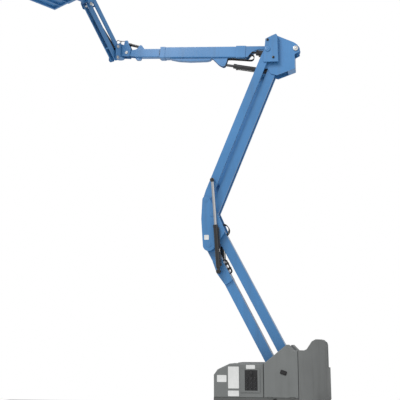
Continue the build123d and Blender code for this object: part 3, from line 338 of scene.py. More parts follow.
def maths_in(group, kind, first, second):
    """The sum, product or maximum of two values; the second may be a number."""
    node = group.nodes.new("ShaderNodeMath")
    node.operation = kind
    group.links.new(first, node.inputs[0])
    if isinstance(second, float):
        node.inputs[1].default_value = second
    else:
        group.links.new(second, node.inputs[1])
    return node.outputs["Value"]


def skin_group():
    """Weathered skin: patchy colour, faint streaks of grime, changing gloss and a fine surface height."""
    group, given, gives = new_group("weathered skin", {
        "Colour": (0.5, 0.5, 0.5, 1), "Faded": (0.6, 0.6, 0.6, 1), "Grime": (0.1, 0.1, 0.09, 1),
        "Patch scale": 2.0, "Grain scale": 300.0, "Grime amount": 0.25, "Gloss low": 0.3, "Gloss high": 0.5,
    }, {"Colour": "NodeSocketColor", "Roughness": "NodeSocketFloat", "Height": "NodeSocketFloat"})
    coords = group.nodes.new("ShaderNodeTexCoord").outputs["Object"]
    stretch = group.nodes.new("ShaderNodeMapping")
    stretch.inputs["Scale"].default_value = (9.0, 9.0, 0.7)
    group.links.new(coords, stretch.inputs["Vector"])
    patch = noise_in(group, coords, given["Patch scale"], detail=5.0)
    fade = remap_in(group, patch, 0.38, 0.68, 0.0, 1.0)
    streak = noise_in(group, stretch.outputs["Vector"], scale=1.0, detail=5.0, rough=0.62)
    streak = remap_in(group, streak, 0.5, 0.78, 0.0, given["Grime amount"])
    speck = noise_in(group, coords, scale=46.0, detail=3.0, rough=0.7)
    speck = remap_in(group, speck, 0.66, 0.8, 0.0, given["Grime amount"])
    dirt = maths_in(group, "MAXIMUM", streak, speck)
    colour = mix_in(group, fade, given["Colour"], given["Faded"])
    colour = mix_in(group, dirt, colour, given["Grime"])
    gloss = remap_in(group, patch, 0.3, 0.7, given["Gloss low"], given["Gloss high"])
    gloss = maths_in(group, "ADD", gloss, maths_in(group, "MULTIPLY", dirt, 0.35))
    grain = noise_in(group, coords, given["Grain scale"], detail=2.0)
    group.links.new(colour, gives["Colour"])
    group.links.new(gloss, gives["Roughness"])
    group.links.new(grain, gives["Height"])


def dust_group():
    """Road dust that fades out with height and settles on faces that look up."""
    group, given, gives = new_group("road dust", {"Top": 0.9, "Amount": 0.5}, {"Mask": "NodeSocketFloat"})
    coords = group.nodes.new("ShaderNodeTexCoord").outputs["Object"]
    apart = group.nodes.new("ShaderNodeSeparateXYZ")
    group.links.new(coords, apart.inputs["Vector"])
    low = remap_in(group, apart.outputs["Z"], 0.0, given["Top"], 1.0, 0.0)
    normal = group.nodes.new("ShaderNodeSeparateXYZ")
    group.links.new(group.nodes.new("ShaderNodeNewGeometry").outputs["Normal"], normal.inputs["Vector"])
    up = remap_in(group, normal.outputs["Z"], 0.6, 1.0, 0.0, 0.35)
    cloud = noise_in(group, coords, scale=7.0, detail=6.0, rough=0.65)
    cloud = remap_in(group, cloud, 0.35, 0.7, 0.1, 1.0)
    mask = maths_in(group, "MULTIPLY", maths_in(group, "MAXIMUM", low, up), cloud)
    mask = maths_in(group, "MULTIPLY", mask, given["Amount"])
    group.links.new(mask, gives["Mask"])


DUST_COLOUR = (0.30, 0.27, 0.22)
COAT_ROUGHNESS = 0.18
GRAIN_HEIGHT = 0.002


def finish_material(name, colour, faded, gloss, patch, grain, bump, dirt, grime=(0.05, 0.047, 0.042),
                    dust=0.15, dust_top=0.9, metal=0.0, coat=0.0, specular=0.5):
    """A material from the shared groups, with its own values."""
    material = bpy.data.materials.new(name)
    material.use_nodes = True
    tree = material.node_tree
    link = tree.links.new
    shader = tree.nodes["Principled BSDF"]
    set_inputs(shader, {"Metallic": metal, "Coat Weight": coat, "Coat Roughness": COAT_ROUGHNESS,
                        "Specular IOR Level": specular})
    skin = tree.nodes.new("ShaderNodeGroup")
    skin.node_tree = bpy.data.node_groups["weathered skin"]
    paler = [min(1.0, part * faded) for part in colour]
    set_inputs(skin, {"Colour": (*colour, 1), "Faded": (*paler, 1), "Grime": (*grime, 1),
                      "Patch scale": patch, "Grain scale": grain, "Grime amount": dirt,
                      "Gloss low": gloss[0], "Gloss high": gloss[1]})
    road = tree.nodes.new("ShaderNodeGroup")
    road.node_tree = bpy.data.node_groups["road dust"]
    set_inputs(road, {"Amount": dust, "Top": dust_top})
    cover = tree.nodes.new("ShaderNodeMix")
    cover.data_type = "RGBA"
    set_inputs(cover, {"B": (*DUST_COLOUR, 1)})
    link(road.outputs["Mask"], cover.inputs["Factor"])
    link(skin.outputs["Colour"], cover.inputs["A"])
    link(cover.outputs["Result"], shader.inputs["Base Color"])
    matt = tree.nodes.new("ShaderNodeMath")
    matt.operation = "MAXIMUM"
    link(skin.outputs["Roughness"], matt.inputs[0])
    link(road.outputs["Mask"], matt.inputs[1])
    link(matt.outputs["Value"], shader.inputs["Roughness"])
    relief = tree.nodes.new("ShaderNodeBump")
    set_inputs(relief, {"Strength": bump, "Distance": GRAIN_HEIGHT})
    link(skin.outputs["Height"], relief.inputs["Height"])
    link(relief.outputs["Normal"], shader.inputs["Normal"])


# Colour of each finish, its own or one of the lift's colours, how much paler it fades, and its look
FINISHES = {
    "boom enamel": ("boom_blue", 1.16, dict(
        gloss=(0.24, 0.40), patch=1.1, grain=260.0, bump=0.035, dirt=0.22, dust=0.10, coat=0.25)),
    "moulded cover": ("cover_grey", 1.10, dict(
        gloss=(0.46, 0.58), patch=2.2, grain=900.0, bump=0.22, dirt=0.16, dust=0.16)),
    "counterweight casting": ("cast_grey", 1.14, dict(
        gloss=(0.50, 0.66), patch=3.0, grain=130.0, bump=0.35, dirt=0.26, dust=0.2)),
    "chassis enamel": ("frame_dark", 1.3, dict(
        gloss=(0.36, 0.55), patch=2.4, grain=300.0, bump=0.06, dirt=0.2, dust=0.55)),
    "skirt enamel": ("skirt_grey", 1.2, dict(
        gloss=(0.42, 0.58), patch=2.4, grain=320.0, bump=0.08, dirt=0.2, dust=0.3)),
    "barrel enamel": ((0.012, 0.012, 0.013), 1.6, dict(
        grime=(0.06, 0.055, 0.05), gloss=(0.2, 0.36), patch=4.0, grain=500.0, bump=0.03, dirt=0.2,
        dust=0.05, coat=0.3)),
    "polished rod": ((0.55, 0.56, 0.58), 1.08, dict(
        grime=(0.30, 0.29, 0.27), gloss=(0.08, 0.18), patch=9.0, grain=1400.0, bump=0.02, dirt=0.22,
        dust=0.0, metal=1.0)),
    "wheel enamel": ("rim_white", 1.08, dict(
        grime=(0.20, 0.18, 0.15), gloss=(0.32, 0.5), patch=6.0, grain=300.0, bump=0.05, dirt=0.35,
        dust=0.45, dust_top=0.7)),
    "tyre rubber": ((0.021, 0.021, 0.022), 1.9, dict(
        grime=(0.10, 0.09, 0.075), gloss=(0.66, 0.85), patch=8.0, grain=520.0, bump=0.4, dirt=0.3,
        dust=0.6, dust_top=0.6, specular=0.3)),
    "battery case": ((0.02, 0.02, 0.023), 1.5, dict(
        gloss=(0.42, 0.55), patch=5.0, grain=700.0, bump=0.2, dirt=0.2)),
    "panel plastic": ((0.014, 0.014, 0.015), 1.5, dict(
        gloss=(0.42, 0.56), patch=6.0, grain=1100.0, bump=0.2, dirt=0.15, dust=0.1)),
    "hose rubber": ((0.013, 0.013, 0.014), 1.5, dict(
        gloss=(0.45, 0.62), patch=8.0, grain=900.0, bump=0.25, dirt=0.2, dust=0.05)),
    "bearing steel": ((0.42, 0.42, 0.41), 1.15, dict(
        grime=(0.10, 0.08, 0.06), gloss=(0.32, 0.5), patch=5.0, grain=800.0, bump=0.1, dirt=0.4,
        dust=0.2, metal=1.0)),
    # Chrome rod of the lift cylinder, coloured near black as painted shade and a painted dark reflection of
    # its surroundings
    "oiled rod": ((0.085, 0.085, 0.09), 1.3, dict(
        grime=(0.05, 0.045, 0.04), gloss=(0.16, 0.3), patch=9.0, grain=1200.0, bump=0.02, dirt=0.3,
        dust=0.0, metal=1.0)),
    "zinc fastener": ((0.55, 0.55, 0.54), 1.1, dict(
        grime=(0.16, 0.14, 0.12), gloss=(0.26, 0.42), patch=30.0, grain=1500.0, bump=0.06, dirt=0.3,
        dust=0.05, metal=1.0)),
    "sign plate": ("plate_white", 1.04, dict(
        grime=(0.35, 0.34, 0.32), gloss=(0.34, 0.44), patch=9.0, grain=900.0, bump=0.04, dirt=0.16,
        dust=0.04)),
    "stop button": ("stop_red", 1.2, dict(
        gloss=(0.25, 0.36), patch=30.0, grain=900.0, bump=0.05, dirt=0.1, dust=0.0)),
    "switch grey": ((0.09, 0.09, 0.095), 1.2, dict(
        gloss=(0.35, 0.5), patch=30.0, grain=900.0, bump=0.08, dirt=0.15, dust=0.0)),
}
# Nodes of each finish; the others have boom enamel
NODE_FINISHES = {
    "moulded cover": ("front_housing_left", "front_housing_right", "cover_left", "cover_right",
                      "ground_controls"),
    "counterweight casting": ("counterweight",),
    "chassis enamel": ("chassis_frame", "sponson_left", "sponson_right", "front_axle", "rear_axle",
                       "knuckle_left", "knuckle_right"),
    "skirt enamel": ("turntable_base",),
    "barrel enamel": ("riser_cylinder_barrels", "lift_cylinder_barrel", "master_cylinder_barrel",
                      "master_cylinder_rod", "slave_cylinder_barrel", "jib_cylinder_barrel"),
    "polished rod": ("riser_cylinder_rods", "slave_cylinder_rod", "jib_cylinder_rod", "tie_rod"),
    "wheel enamel": tuple("rim_" + corner for corner in CORNERS),
    "tyre rubber": tuple("tyre_" + corner for corner in CORNERS),
    "battery case": ("battery_packs",),
    "panel plastic": ("platform_controls",),
    "hose rubber": ("riser_hoses",),
    "bearing steel": ("slew_ring",),
    # The lift cylinder's chrome rod takes the near-black finish, which is painted shade
    "oiled rod": ("lift_cylinder_rod",),
}


class LIFT_OT_finishes(Operator):
    """Make the finishes and give each carried node its own"""

    bl_idname = "boom_lift.finishes"
    bl_label = "Finishes"

    def execute(self, context):
        colours = context.scene.lift_colours
        skin_group()
        dust_group()
        for name, (colour, faded, look) in FINISHES.items():
            if isinstance(colour, str):
                colour = getattr(colours, colour)
            finish_material(name, colour, faded, **look)
        named = {node: finish for finish, nodes in NODE_FINISHES.items() for node in nodes}
        for name, node in NODES.items():
            material = bpy.data.materials[named.get(name, "boom enamel")]
            if not node.data.materials:
                node.data.materials.append(material)
            for place in node.material_slots:
                place.material = material
        return {"FINISHED"}


TREAD_SHOULDER = 0.022
SIDEWALL_RING = (0.009, 0.0035)
GROOVE_MARGIN = 0.0025
# How far the grooves are shifted round in each row of blocks
TREAD_ROWS = (0, 1, 2, 1)


class LIFT_OT_tyres(Operator):
    """Block-tread tyres in place of the plain ones"""

    bl_idname = "boom_lift.tyres"
    bl_label = "Tyres"

    def execute(self, context):
        sizes = context.scene.lift_sizes
        centre = (TYRE_LOW + TYRE_HIGH) / 2
        radius = (TYRE_HIGH.z - TYRE_LOW.z) / 2
        width = TYRE_HIGH.y - TYRE_LOW.y
        flat = width - 2 * TREAD_SHOULDER
        tyre = add_round("tread_front_left", radius, width, sizes.tread_blocks, centre, "Y")
        open_edit(tyre)
        pick(tyre, "faces", lambda face: abs(face.normal.y) > 0.9)
        inset(radius - sizes.bead_radius)
        bpy.ops.mesh.delete(type="FACE")
        pick(tyre, "edges", lambda edge: edge.is_boundary)
        bpy.ops.mesh.bridge_edge_loops()

        def off_axis(place):
            return (Vector((place.x, 0, place.z)) - Vector((centre.x, 0, centre.z))).length

        pick(tyre, "edges", lambda edge: not edge.is_boundary and off_axis(middle(edge)) > radius * 0.99
             and abs(middle(edge).y - centre.y) > width * 0.49)
        bevel(TREAD_SHOULDER, 3)
        pick(tyre, "faces", lambda face: abs(face.normal.y) > 0.97)
        inset(*SIDEWALL_RING)
        for share in (-0.25, 0.0, 0.25):
            bpy.ops.mesh.select_all(action="SELECT")
            bpy.ops.mesh.bisect(plane_co=(0, centre.y + share * flat, 0), plane_no=(0, 1, 0))

        def groove(face):
            place = face.calc_center_median()
            if abs(face.normal.y) > 0.1 or off_axis(place) < radius * 0.97:
                return False
            turn = (atan2(place.z - centre.z, place.x - centre.x) + pi) / (2 * pi)
            around = round(turn * sizes.tread_blocks - 0.5)
            row = int((place.y - centre.y) / flat * 4 + 2)
            return (around + TREAD_ROWS[max(0, min(3, row))]) % 3 == 0

        pick(tyre, "faces", groove)
        inset(GROOVE_MARGIN, -sizes.tread_depth, each=True)
        close_edit(tyre, 28)
        for name in CORNERS:
            low, high = node_box("tyre_" + name)
            piece = tyre
            if name != "front_left":
                piece = copy_of(tyre, "tread_" + name, Matrix.Translation((low + high) / 2 - centre))
            fit(piece, "wheel_" + name, "tyre rubber")
            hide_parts("tyre_" + name)
        return {"FINISHED"}


# Faces are measured from the mid-plane
NUT_FACE = 0.712
NUT_HEIGHT = 0.015
STUD_LENGTH = 0.008
HUB_FACE = 0.730
HUB_CAP_RADIUS = 0.052
HUB_CAP_HEIGHT = 0.012


class LIFT_OT_wheel_nuts(Operator):
    """Ring of wheel nuts on studs, and a hub cap, on each wheel"""

    bl_idname = "boom_lift.wheel_nuts"
    bl_label = "Wheel nuts"

    def execute(self, context):
        sizes = context.scene.lift_sizes
        centre = (RIM_LOW + RIM_HIGH) / 2
        nut = add_round("nut", sizes.nut_radius, NUT_HEIGHT, 6, (0, NUT_HEIGHT / 2, 0), "Y")
        open_edit(nut)
        step_face(nut, "Y", ((0.0025, 0.0012), (0.0045, 0.0)))
        extrude((0, STUD_LENGTH, 0))
        inset(0.0015, 0.001)
        pick(nut, "edges", lambda edge: abs(middle(edge).y) < 0.0001)
        bevel(0.001, 1)
        close_edit(nut, 25)
        ring = []
        for i in range(sizes.nut_count):
            angle = 2 * pi * (i + 0.5) / sizes.nut_count
            place = Vector((centre.x + sizes.nut_circle * cos(angle), NUT_FACE,
                            centre.z + sizes.nut_circle * sin(angle)))
            ring.append(copy_of(nut, f"nut_{i}", Matrix.Translation(place) @ Matrix.Rotation(angle, 4, "Y")))
        bpy.data.objects.remove(nut)
        cap = add_round("hub_cap", HUB_CAP_RADIUS, HUB_CAP_HEIGHT, 40,
                        (centre.x, HUB_FACE + HUB_CAP_HEIGHT / 2, centre.z), "Y")
        open_edit(cap)
        step_face(cap, "Y", ((0.008, 0.004), (0.024, 0.001)))
        extrude((0, -0.003, 0))
        pick(cap, "edges", lambda edge: abs(middle(edge).y - HUB_FACE - HUB_CAP_HEIGHT) < 0.0004)
        bevel(0.002, 2)
        close_edit(cap)
        left = joined(ring + [cap], "wheel_nuts_front_left")
        for name in CORNERS:
            low, high = node_box("rim_" + name)
            place = (low + high) / 2
            piece = left
            if name != "front_left":
                side = mirror_y() if place.y < 0 else Matrix.Identity(4)
                move = Matrix.Translation((place.x - centre.x, 0, 0)) @ side
                piece = copy_of(left, "wheel_nuts_" + name, move)
            fit(piece, "wheel_" + name, "zinc fastener")
        return {"FINISHED"}


def pin_cap(name, radius, thickness):
    """A keeper cap on the origin, facing +Y: stepped disc with a bolt head in its middle."""
    cap = add_round(name, radius, thickness, 36, (0, thickness / 2, 0), "Y")
    open_edit(cap)
    step_face(cap, "Y", ((radius * 0.16, thickness * 0.25), (radius * 0.3, -thickness * 0.2),
                         (radius * 0.16, 0.0)))
    extrude((0, thickness * 0.5, 0))
    inset(radius * 0.05, thickness * 0.08)
    pick(cap, "edges", lambda edge: abs(middle(edge).y - thickness) < thickness * 0.05)
    bevel(thickness * 0.16, 2)
    close_edit(cap, 30)
    return cap


# Joint, body, distance of the caps from the mid-plane, their radius and finish
PIN_CAPS = (
    ("riser", "turntable", 0.198, 0.048, "zinc fastener"),
    ("riser_rear_arm", "turntable", 0.198, 0.048, "zinc fastener"),
    ("head_pivot", "riser_head", 0.190, 0.044, "boom enamel"),
    ("boom_lift", "riser_head", 0.115, 0.046, "zinc fastener"),
    ("jib_lift", "jib_swing", 0.102, 0.030, "zinc fastener"),
    ("jib_upper_pivot", "jib_swing", 0.102, 0.030, "zinc fastener"),
    ("jib_head_pivot", "jib_head", 0.102, 0.030, "zinc fastener"),
    ("riser_cylinder_pivot", "lower_arm_front", 0.272, 0.034, "barrel enamel"),
)
# Radius of the cap to start from, places of the others, and their radius and thickness as shares of it
CAP_RADIUS = 0.04
RISER_EYE, RISER_EYE_CAP = (1.0854, 4.2400), (0.8, 1.0)
ELBOW_FACE, ELBOW_CAP = 0.187, (1.0, 0.4)
TIP_FACE, TIP_CAP = 0.076, (0.7, 0.25)


def cap_size(around, thick):
    """Scales the start cap, by its radius and its thickness."""
    return Matrix.Diagonal((around, thick, around, 1))


class LIFT_OT_pin_caps(Operator):
    """Keeper caps with bolts on the ends of the pins"""

    bl_idname = "boom_lift.pin_caps"
    bl_label = "Pin caps"

    def execute(self, context):
        thickness = context.scene.lift_sizes.cap_thickness
        start = pin_cap("pin_cap_start", CAP_RADIUS, thickness)

        def on_sides(name, x, face, z, size):
            """A cap on the left and one on the right of the mid-plane."""
            spots = [towards((x, side * face, z), (0, side, 0)) for side in (1, -1)]
            return [copy_of(start, name, spot @ size) for spot in spots]

        for joint, body, out, radius, finish in PIN_CAPS:
            place, axis = joint_place(joint)
            pair = []
            for side in (1, -1):
                spot = towards(place + axis * out * side, axis * side)
                pair.append(copy_of(start, f"cap_{side}", spot @ cap_size(radius / CAP_RADIUS, 1.0)))
            fit(joined(pair, "pin_caps_" + joint), body, finish)
        eyes = on_sides("riser_eye", RISER_EYE[0], RISER_ROD_SIDE, RISER_EYE[1], cap_size(*RISER_EYE_CAP))
        for cap, name in zip(eyes, ("left", "right")):
            cap.name = cap.data.name = "pin_cap_riser_eye_" + name
            fit(cap, "riser_rods", "barrel enamel")
        lower, _ = joint_place("elbow_pivot")
        rear_shift = joint_place("riser_rear_arm")[0] - joint_place("riser")[0]
        upper = [joint_place(joint)[0] for joint in ("upper_front_pivot", "upper_rear_pivot")]
        caps = []
        for place in (lower, lower + rear_shift, *upper):
            caps += on_sides("elbow_cap", place.x, ELBOW_FACE, place.z, cap_size(*ELBOW_CAP))
        fit(joined(caps, "pin_caps_elbow"), "elbow", "boom enamel")
        tip, _ = joint_place("level_pivot")
        caps = on_sides("tip_cap", tip.x, TIP_FACE, tip.z, cap_size(*TIP_CAP))
        fit(joined(caps, "pin_caps_tip"), "extension", "zinc fastener")
        bpy.data.objects.remove(start)
        return {"FINISHED"}


def hex_bolt(name, radius):
    """A washer and a hexagon head on the origin, facing +Y."""
    washer = add_round(name + "_washer", radius * 1.45, radius * 0.25, 28, (0, radius * 0.125, 0), "Y")
    open_edit(washer)
    step_face(washer, "Y", ((radius * 0.12, radius * 0.06),))
    close_edit(washer)
    head = add_round(name + "_head", radius, radius * 0.8, 6, (0, radius * 0.7, 0), "Y")
    open_edit(head)
    step_face(head, "Y", ((radius * 0.14, radius * 0.08),))
    close_edit(head, 20)
    return joined([washer, head], name)


# Side-view place of each bolt
HEAD_BOLTS = ((0.124, 6.668), (0.031, 6.343))


class LIFT_OT_bolts(Operator):
    """Hexagon bolts through the head's cheeks"""

    bl_idname = "boom_lift.bolts"
    bl_label = "Bolts"

    def execute(self, context):
        start = hex_bolt("bolt_start", context.scene.lift_sizes.bolt_radius)
        head = []
        for x, z in HEAD_BOLTS:
            for side in (1, -1):
                head.append(copy_of(start, "head_bolt", towards((x, side * HEAD_SIDE, z), (0, side, 0))))
        fit(joined(head, "head_bolts"), "riser_head", "barrel enamel")
        bpy.data.objects.remove(start)
        return {"FINISHED"}


# Slopes in degrees; places are measured along the bar from its first pin
BOOM_SLOPE = 4.4
BOOM_DROP = 0.038
BOOM_MOUTH = 2.406
LOWER_SLOPE = 62.5
HOSE_CLAMPS = (1.955, 2.045)
HOSE_BLOCK_SIZE, HOSE_BLOCK_PLACE = (0.056, 0.060, 0.056), (1.235, 0, -0.126)
STOP_LUG_SIZE, STOP_LUG_PLACE = (0.100, 0.060, 0.046), (2.815, 0, -0.097)
CLAMP_SIZE, CLAMP_PLACE = (0.030, 0.074, 0.060), (0, 0.064, 0.108)
PAD_LENGTH = 0.010
TOP_PAD_SIZE, TOP_PAD_HEIGHT = (PAD_LENGTH, 0.086, 0.020), 0.091
SIDE_PAD_SIZE, SIDE_PAD_OUT = (PAD_LENGTH, 0.012, 0.100), 0.067


def along_bar(point, angle):
    """Turns a piece modelled along +X to a bar's slope in side view, from the bar's first pin."""
    return Matrix.Translation(point) @ Matrix.Rotation(-radians(angle), 4, "Y")


def along_boom():
    """From the boom's own frame to the machine."""
    pivot, _ = joint_place("boom_lift")
    return along_bar(pivot - Vector((0, 0, BOOM_DROP)), BOOM_SLOPE)


class LIFT_OT_boom_fittings(Operator):
    """Hose block behind the boom's lift lug, and the stop lug under the extension's end"""

    bl_idname = "boom_lift.boom_fittings"
    bl_label = "Boom fittings"

    def execute(self, context):
        place = along_boom()
        block = rounded_block("hose_block", HOSE_BLOCK_SIZE, HOSE_BLOCK_PLACE, "Y", 0.006, 2)
        step_face(block, "X", ((0.010, 0.002), (0.006, 0.0)), -1)
        extrude((-0.008, 0, 0))
        close_edit(block, 30)
        block.data.transform(place)
        fit(block, "boom", "barrel enamel")
        lug = add_block("stop_lug", STOP_LUG_SIZE, STOP_LUG_PLACE)
        open_edit(lug)
        across = runs_along("Y", 0.05)
        pick(lug, "edges", lambda edge: middle(edge).z < STOP_LUG_PLACE[2] - 0.01 and across(edge))
        bevel(0.026, 3)
        pick(lug, "faces", lambda face: abs(face.normal.y) > 0.9)
        inset(0.007, -0.003, each=True)
        close_edit(lug, 35)
        lug.data.transform(place)
        fit(lug, "extension", "boom enamel")
        return {"FINISHED"}


class LIFT_OT_hose_clamps(Operator):
    """Saddle clamps that hold the two hoses on the front lower arm"""

    bl_idname = "boom_lift.hose_clamps"
    bl_label = "Hose clamps"

    def execute(self, context):
        foot, _ = joint_place("riser")
        place = along_bar(foot, LOWER_SLOPE)
        clamp = add_block("clamp", CLAMP_SIZE, CLAMP_PLACE)
        open_edit(clamp)
        lengthwise = runs_along("X", 0.02)
        pick(clamp, "edges", lambda edge: middle(edge).z > CLAMP_PLACE[2] + 0.02 and lengthwise(edge))
        bevel(0.014, 4)
        step_face(clamp, "Z", ((0.005, 0.001), (0.004, 0.0)))
        extrude((0, 0, 0.004))
        close_edit(clamp, 30)
        pair = []
        for along in HOSE_CLAMPS:
            pair.append(copy_of(clamp, "clamp_pair", place @ Matrix.Translation((along, 0, 0))))
        bpy.data.objects.remove(clamp)
        fit(joined(pair, "riser_hose_clamps"), "lower_arm_front", "panel plastic")
        return {"FINISHED"}


class LIFT_OT_wear_pads(Operator):
    """Slide pads held around the extension at the boom's mouth"""

    bl_idname = "boom_lift.wear_pads"
    bl_label = "Slide pads"

    def execute(self, context):
        place = along_boom()
        mouth = BOOM_MOUTH + PAD_LENGTH / 2
        pads = []
        for name, size, spot, flip in (
            ("pad_top", TOP_PAD_SIZE, (mouth, 0, TOP_PAD_HEIGHT), Matrix.Scale(-1, 4, (0, 0, 1))),
            ("pad_side", SIDE_PAD_SIZE, (mouth, SIDE_PAD_OUT, 0), mirror_y()),
        ):
            pad = rounded_block(name, size, spot, "X", 0.003, 3)
            step_face(pad, "X", ((0.002, 0.001),))
            close_edit(pad, 30)
            pads += [copy_of(pad, name + "_far", place @ flip), copy_of(pad, name + "_near", place)]
            bpy.data.objects.remove(pad)
        fit(joined(pads, "boom_slide_pads"), "boom", "panel plastic")
        return {"FINISHED"}


# Rear, front, lower and upper edge of each plate in side view
SIGN_PLATES = {
    "nose": (0.7864, 0.9328, 0.9849, 1.0875), "tall": (0.5954, 0.7616, 0.8912, 1.2149),
    "low": (0.5966, 0.7642, 0.7769, 0.8599), "controls": (0.3480, 0.4845, 1.1800, 1.2390),
}
ELBOW_PLATE = (1.156, 1.234, 3.246, 3.326)
ELBOW_PLATE_FACE = 0.186


def sign_plate(name, edges, face, thickness):
    """A thin plate with round corners and a raised rim, lying on a face that looks to +Y."""
    rear, front, low, high = edges
    plate = rounded_block(name, (front - rear, thickness, high - low),
                          ((rear + front) / 2, face + thickness / 2, (low + high) / 2), "Y", 0.008, 4)
    step_face(plate, "Y", ((0.005, thickness * 0.15), (0.002, -thickness * 0.3)))
    close_edit(plate, 30)
    return plate


class LIFT_OT_sign_plates(Operator):
    """Blank plates where the machine carries its signs"""

    bl_idname = "boom_lift.sign_plates"
    bl_label = "Blank plates"

    def execute(self, context):
        thickness = context.scene.lift_sizes.plate_thickness
        for label, edges in SIGN_PLATES.items():
            left = sign_plate(f"plate_{label}_left", edges, HOUSING_SIDE, thickness)
            fit_pair(left, f"plate_{label}_right", ("turntable", "turntable"), "sign plate")
        left = sign_plate("plate_elbow_left", ELBOW_PLATE, ELBOW_PLATE_FACE, thickness)
        fit_pair(left, "plate_elbow_right_side", ("elbow", "elbow"), "sign plate")
        return {"FINISHED"}


# Places in side view, the tilt in degrees
LATCH_SIZE = (0.098, 0.008, 0.062)
LATCH_PLACE, LATCH_TILT = (-0.0814, 1.1284), -18
GLAND_RADIUS, GLAND_DEPTH = 0.030, 0.010
GLAND_PLACE = (0.0535, 0.722)


class LIFT_OT_latches(Operator):
    """Paddle latch on each cover, and a round gland in the skirt below it"""

    bl_idname = "boom_lift.latches"
    bl_label = "Cover latches"

    def execute(self, context):
        latch = rounded_block("latch_left", LATCH_SIZE, (0, LATCH_SIZE[1] / 2, 0), "Y", 0.014, 5)
        step_face(latch, "Y", ((0.006, 0.001), (0.003, -0.006), (0.003, 0.0)))
        extrude((0, 0.005, 0))
        inset(0.002, 0.0012)
        close_edit(latch, 30)
        spot = Matrix.Translation((LATCH_PLACE[0], HOUSING_SIDE, LATCH_PLACE[1]))
        latch.data.transform(spot @ Matrix.Rotation(radians(LATCH_TILT), 4, "Y"))
        fit_pair(latch, "latch_right", ("cover_left", "cover_right"), "panel plastic")
        gland = add_round("skirt_gland_left", GLAND_RADIUS, GLAND_DEPTH, 32,
                          (GLAND_PLACE[0], SKIRT_SIDE - GLAND_DEPTH / 2, GLAND_PLACE[1]), "Y")
        open_edit(gland)
        step_face(gland, "Y", ((0.006, 0.004), (0.008, -0.006)))
        close_edit(gland)
        fit_pair(gland, "skirt_gland_right", ("turntable", "turntable"), "panel plastic")
        return {"FINISHED"}


# Places in side view, and heights above the housing's side
ROCKER_SIZE = (0.026, 0.008, 0.034)
ROCKER_HEIGHT = 0.020
ROCKER_FIRST, ROCKER_PITCH = (0.345, 0.900), (0.062, 0.070)
PANEL_SIZE, PANEL_HEIGHT, PANEL_PLACE = (0.191, 0.002, 0.299), 0.007, (0.4075, 1.0135)
GROUND_STOP_RADIUS, GROUND_STOP_DEPTH = 0.026, 0.012
GROUND_STOP_HEIGHT, GROUND_STOP_PLACE = 0.036, (0.407, 1.120)
STOP_STEPS = ((0.004, 0.004), (0.008, 0.002))


class LIFT_OT_controls(Operator):
    """Panel, rockers and stop button on the ground control box"""

    bl_idname = "boom_lift.controls"
    bl_label = "Controls"

    def execute(self, context):
        rocker = rounded_block("rocker", ROCKER_SIZE, (0, ROCKER_SIZE[1] / 2, 0), "Y", 0.004, 3)
        step_face(rocker, "Y", ((0.003, 0.001), (0.002, -0.003), (0.001, 0.0)))
        extrude((0, 0.005, 0))
        close_edit(rocker, 30)
        rows = []
        for row in range(3):
            for column in range(3):
                x = ROCKER_FIRST[0] + ROCKER_PITCH[0] * column
                z = ROCKER_FIRST[1] + ROCKER_PITCH[1] * row
                place = Matrix.Translation((x, HOUSING_SIDE + ROCKER_HEIGHT, z))
                rows.append(copy_of(rocker, f"rocker_{row}{column}", place))
        bpy.data.objects.remove(rocker)
        fit(joined(rows, "ground_rockers"), "turntable", "switch grey")
        panel = add_block("ground_panel", PANEL_SIZE,
                          (PANEL_PLACE[0], HOUSING_SIDE + PANEL_HEIGHT, PANEL_PLACE[1]))
        open_edit(panel)
        step_face(panel, "Y", ((0.006, 0.0008), (0.003, -0.0012)))
        close_edit(panel, 20)
        fit(panel, "turntable", "panel plastic")
        spot = (GROUND_STOP_PLACE[0], HOUSING_SIDE + GROUND_STOP_HEIGHT, GROUND_STOP_PLACE[1])
        stop = add_round("ground_stop", GROUND_STOP_RADIUS, GROUND_STOP_DEPTH, 32, spot, "Y")
        open_edit(stop)
        step_face(stop, "Y", STOP_STEPS)
        close_edit(stop, 45)
        fit(stop, "turntable", "panel plastic")
        return {"FINISHED"}


# Hose routes: side-view points at the elbow and the boom, points of the machine at the tip,
# and points of the jib's own frame at its yoke
ELBOW_LOOP = ((0.9829, 3.4650), (0.9545, 3.5080), (0.9032, 3.5177), (0.8533, 3.4761), (0.8345, 3.4182),
              (0.8515, 3.3643), (0.8868, 3.3346))
BOOM_LOOP = ((0.890, 6.4455), (0.830, 6.4425), (0.750, 6.4365), (0.660, 6.4210), (0.560, 6.4085),
             (0.4499, 6.3893), (0.4084, 6.3893), (0.3790, 6.4187), (0.3790, 6.4602), (0.4084, 6.4895),
             (0.4499, 6.4895), (0.510, 6.4800), (0.580, 6.4570))
TIP_LOOP = ((2.655, 0.056, 6.875), (2.700, 0.046, 6.915), (2.755, 0.022, 6.942), (2.8011, 0.005, 6.947))
YOKE_LOOP = ((0.013, 0.0, 6.9505), (0.0266, 0.0, 6.951), (0.0686, 0.0, 6.951), (0.0983, 0.0, 6.9213),
             (0.0983, 0.0, 6.8793), (0.095, 0.0, 6.858))
SWIVEL_RADIUS, SWIVEL_LENGTH, SWIVEL_MIDDLE = 0.012, 0.080, 6.901
COLLAR_SHARE, COLLAR_HEIGHT = 1.5, 6.945


def jib_turn():
    """From the jib's own frame, its reach along +X from the swing axis, to the machine."""
    swing, _ = joint_place("jib_swing")
    _, level = joint_place("jib_lift")
    return Matrix.Translation((swing.x, swing.y, 0)) @ Matrix.Rotation(atan2(-level.x, level.y), 4, "Z")


def in_plane(loop, y, shift=(0.0, 0.0)):
    """A side-view loop laid at a distance from the mid-plane."""
    return [(x + shift[0], y, z + shift[1]) for x, z in loop]


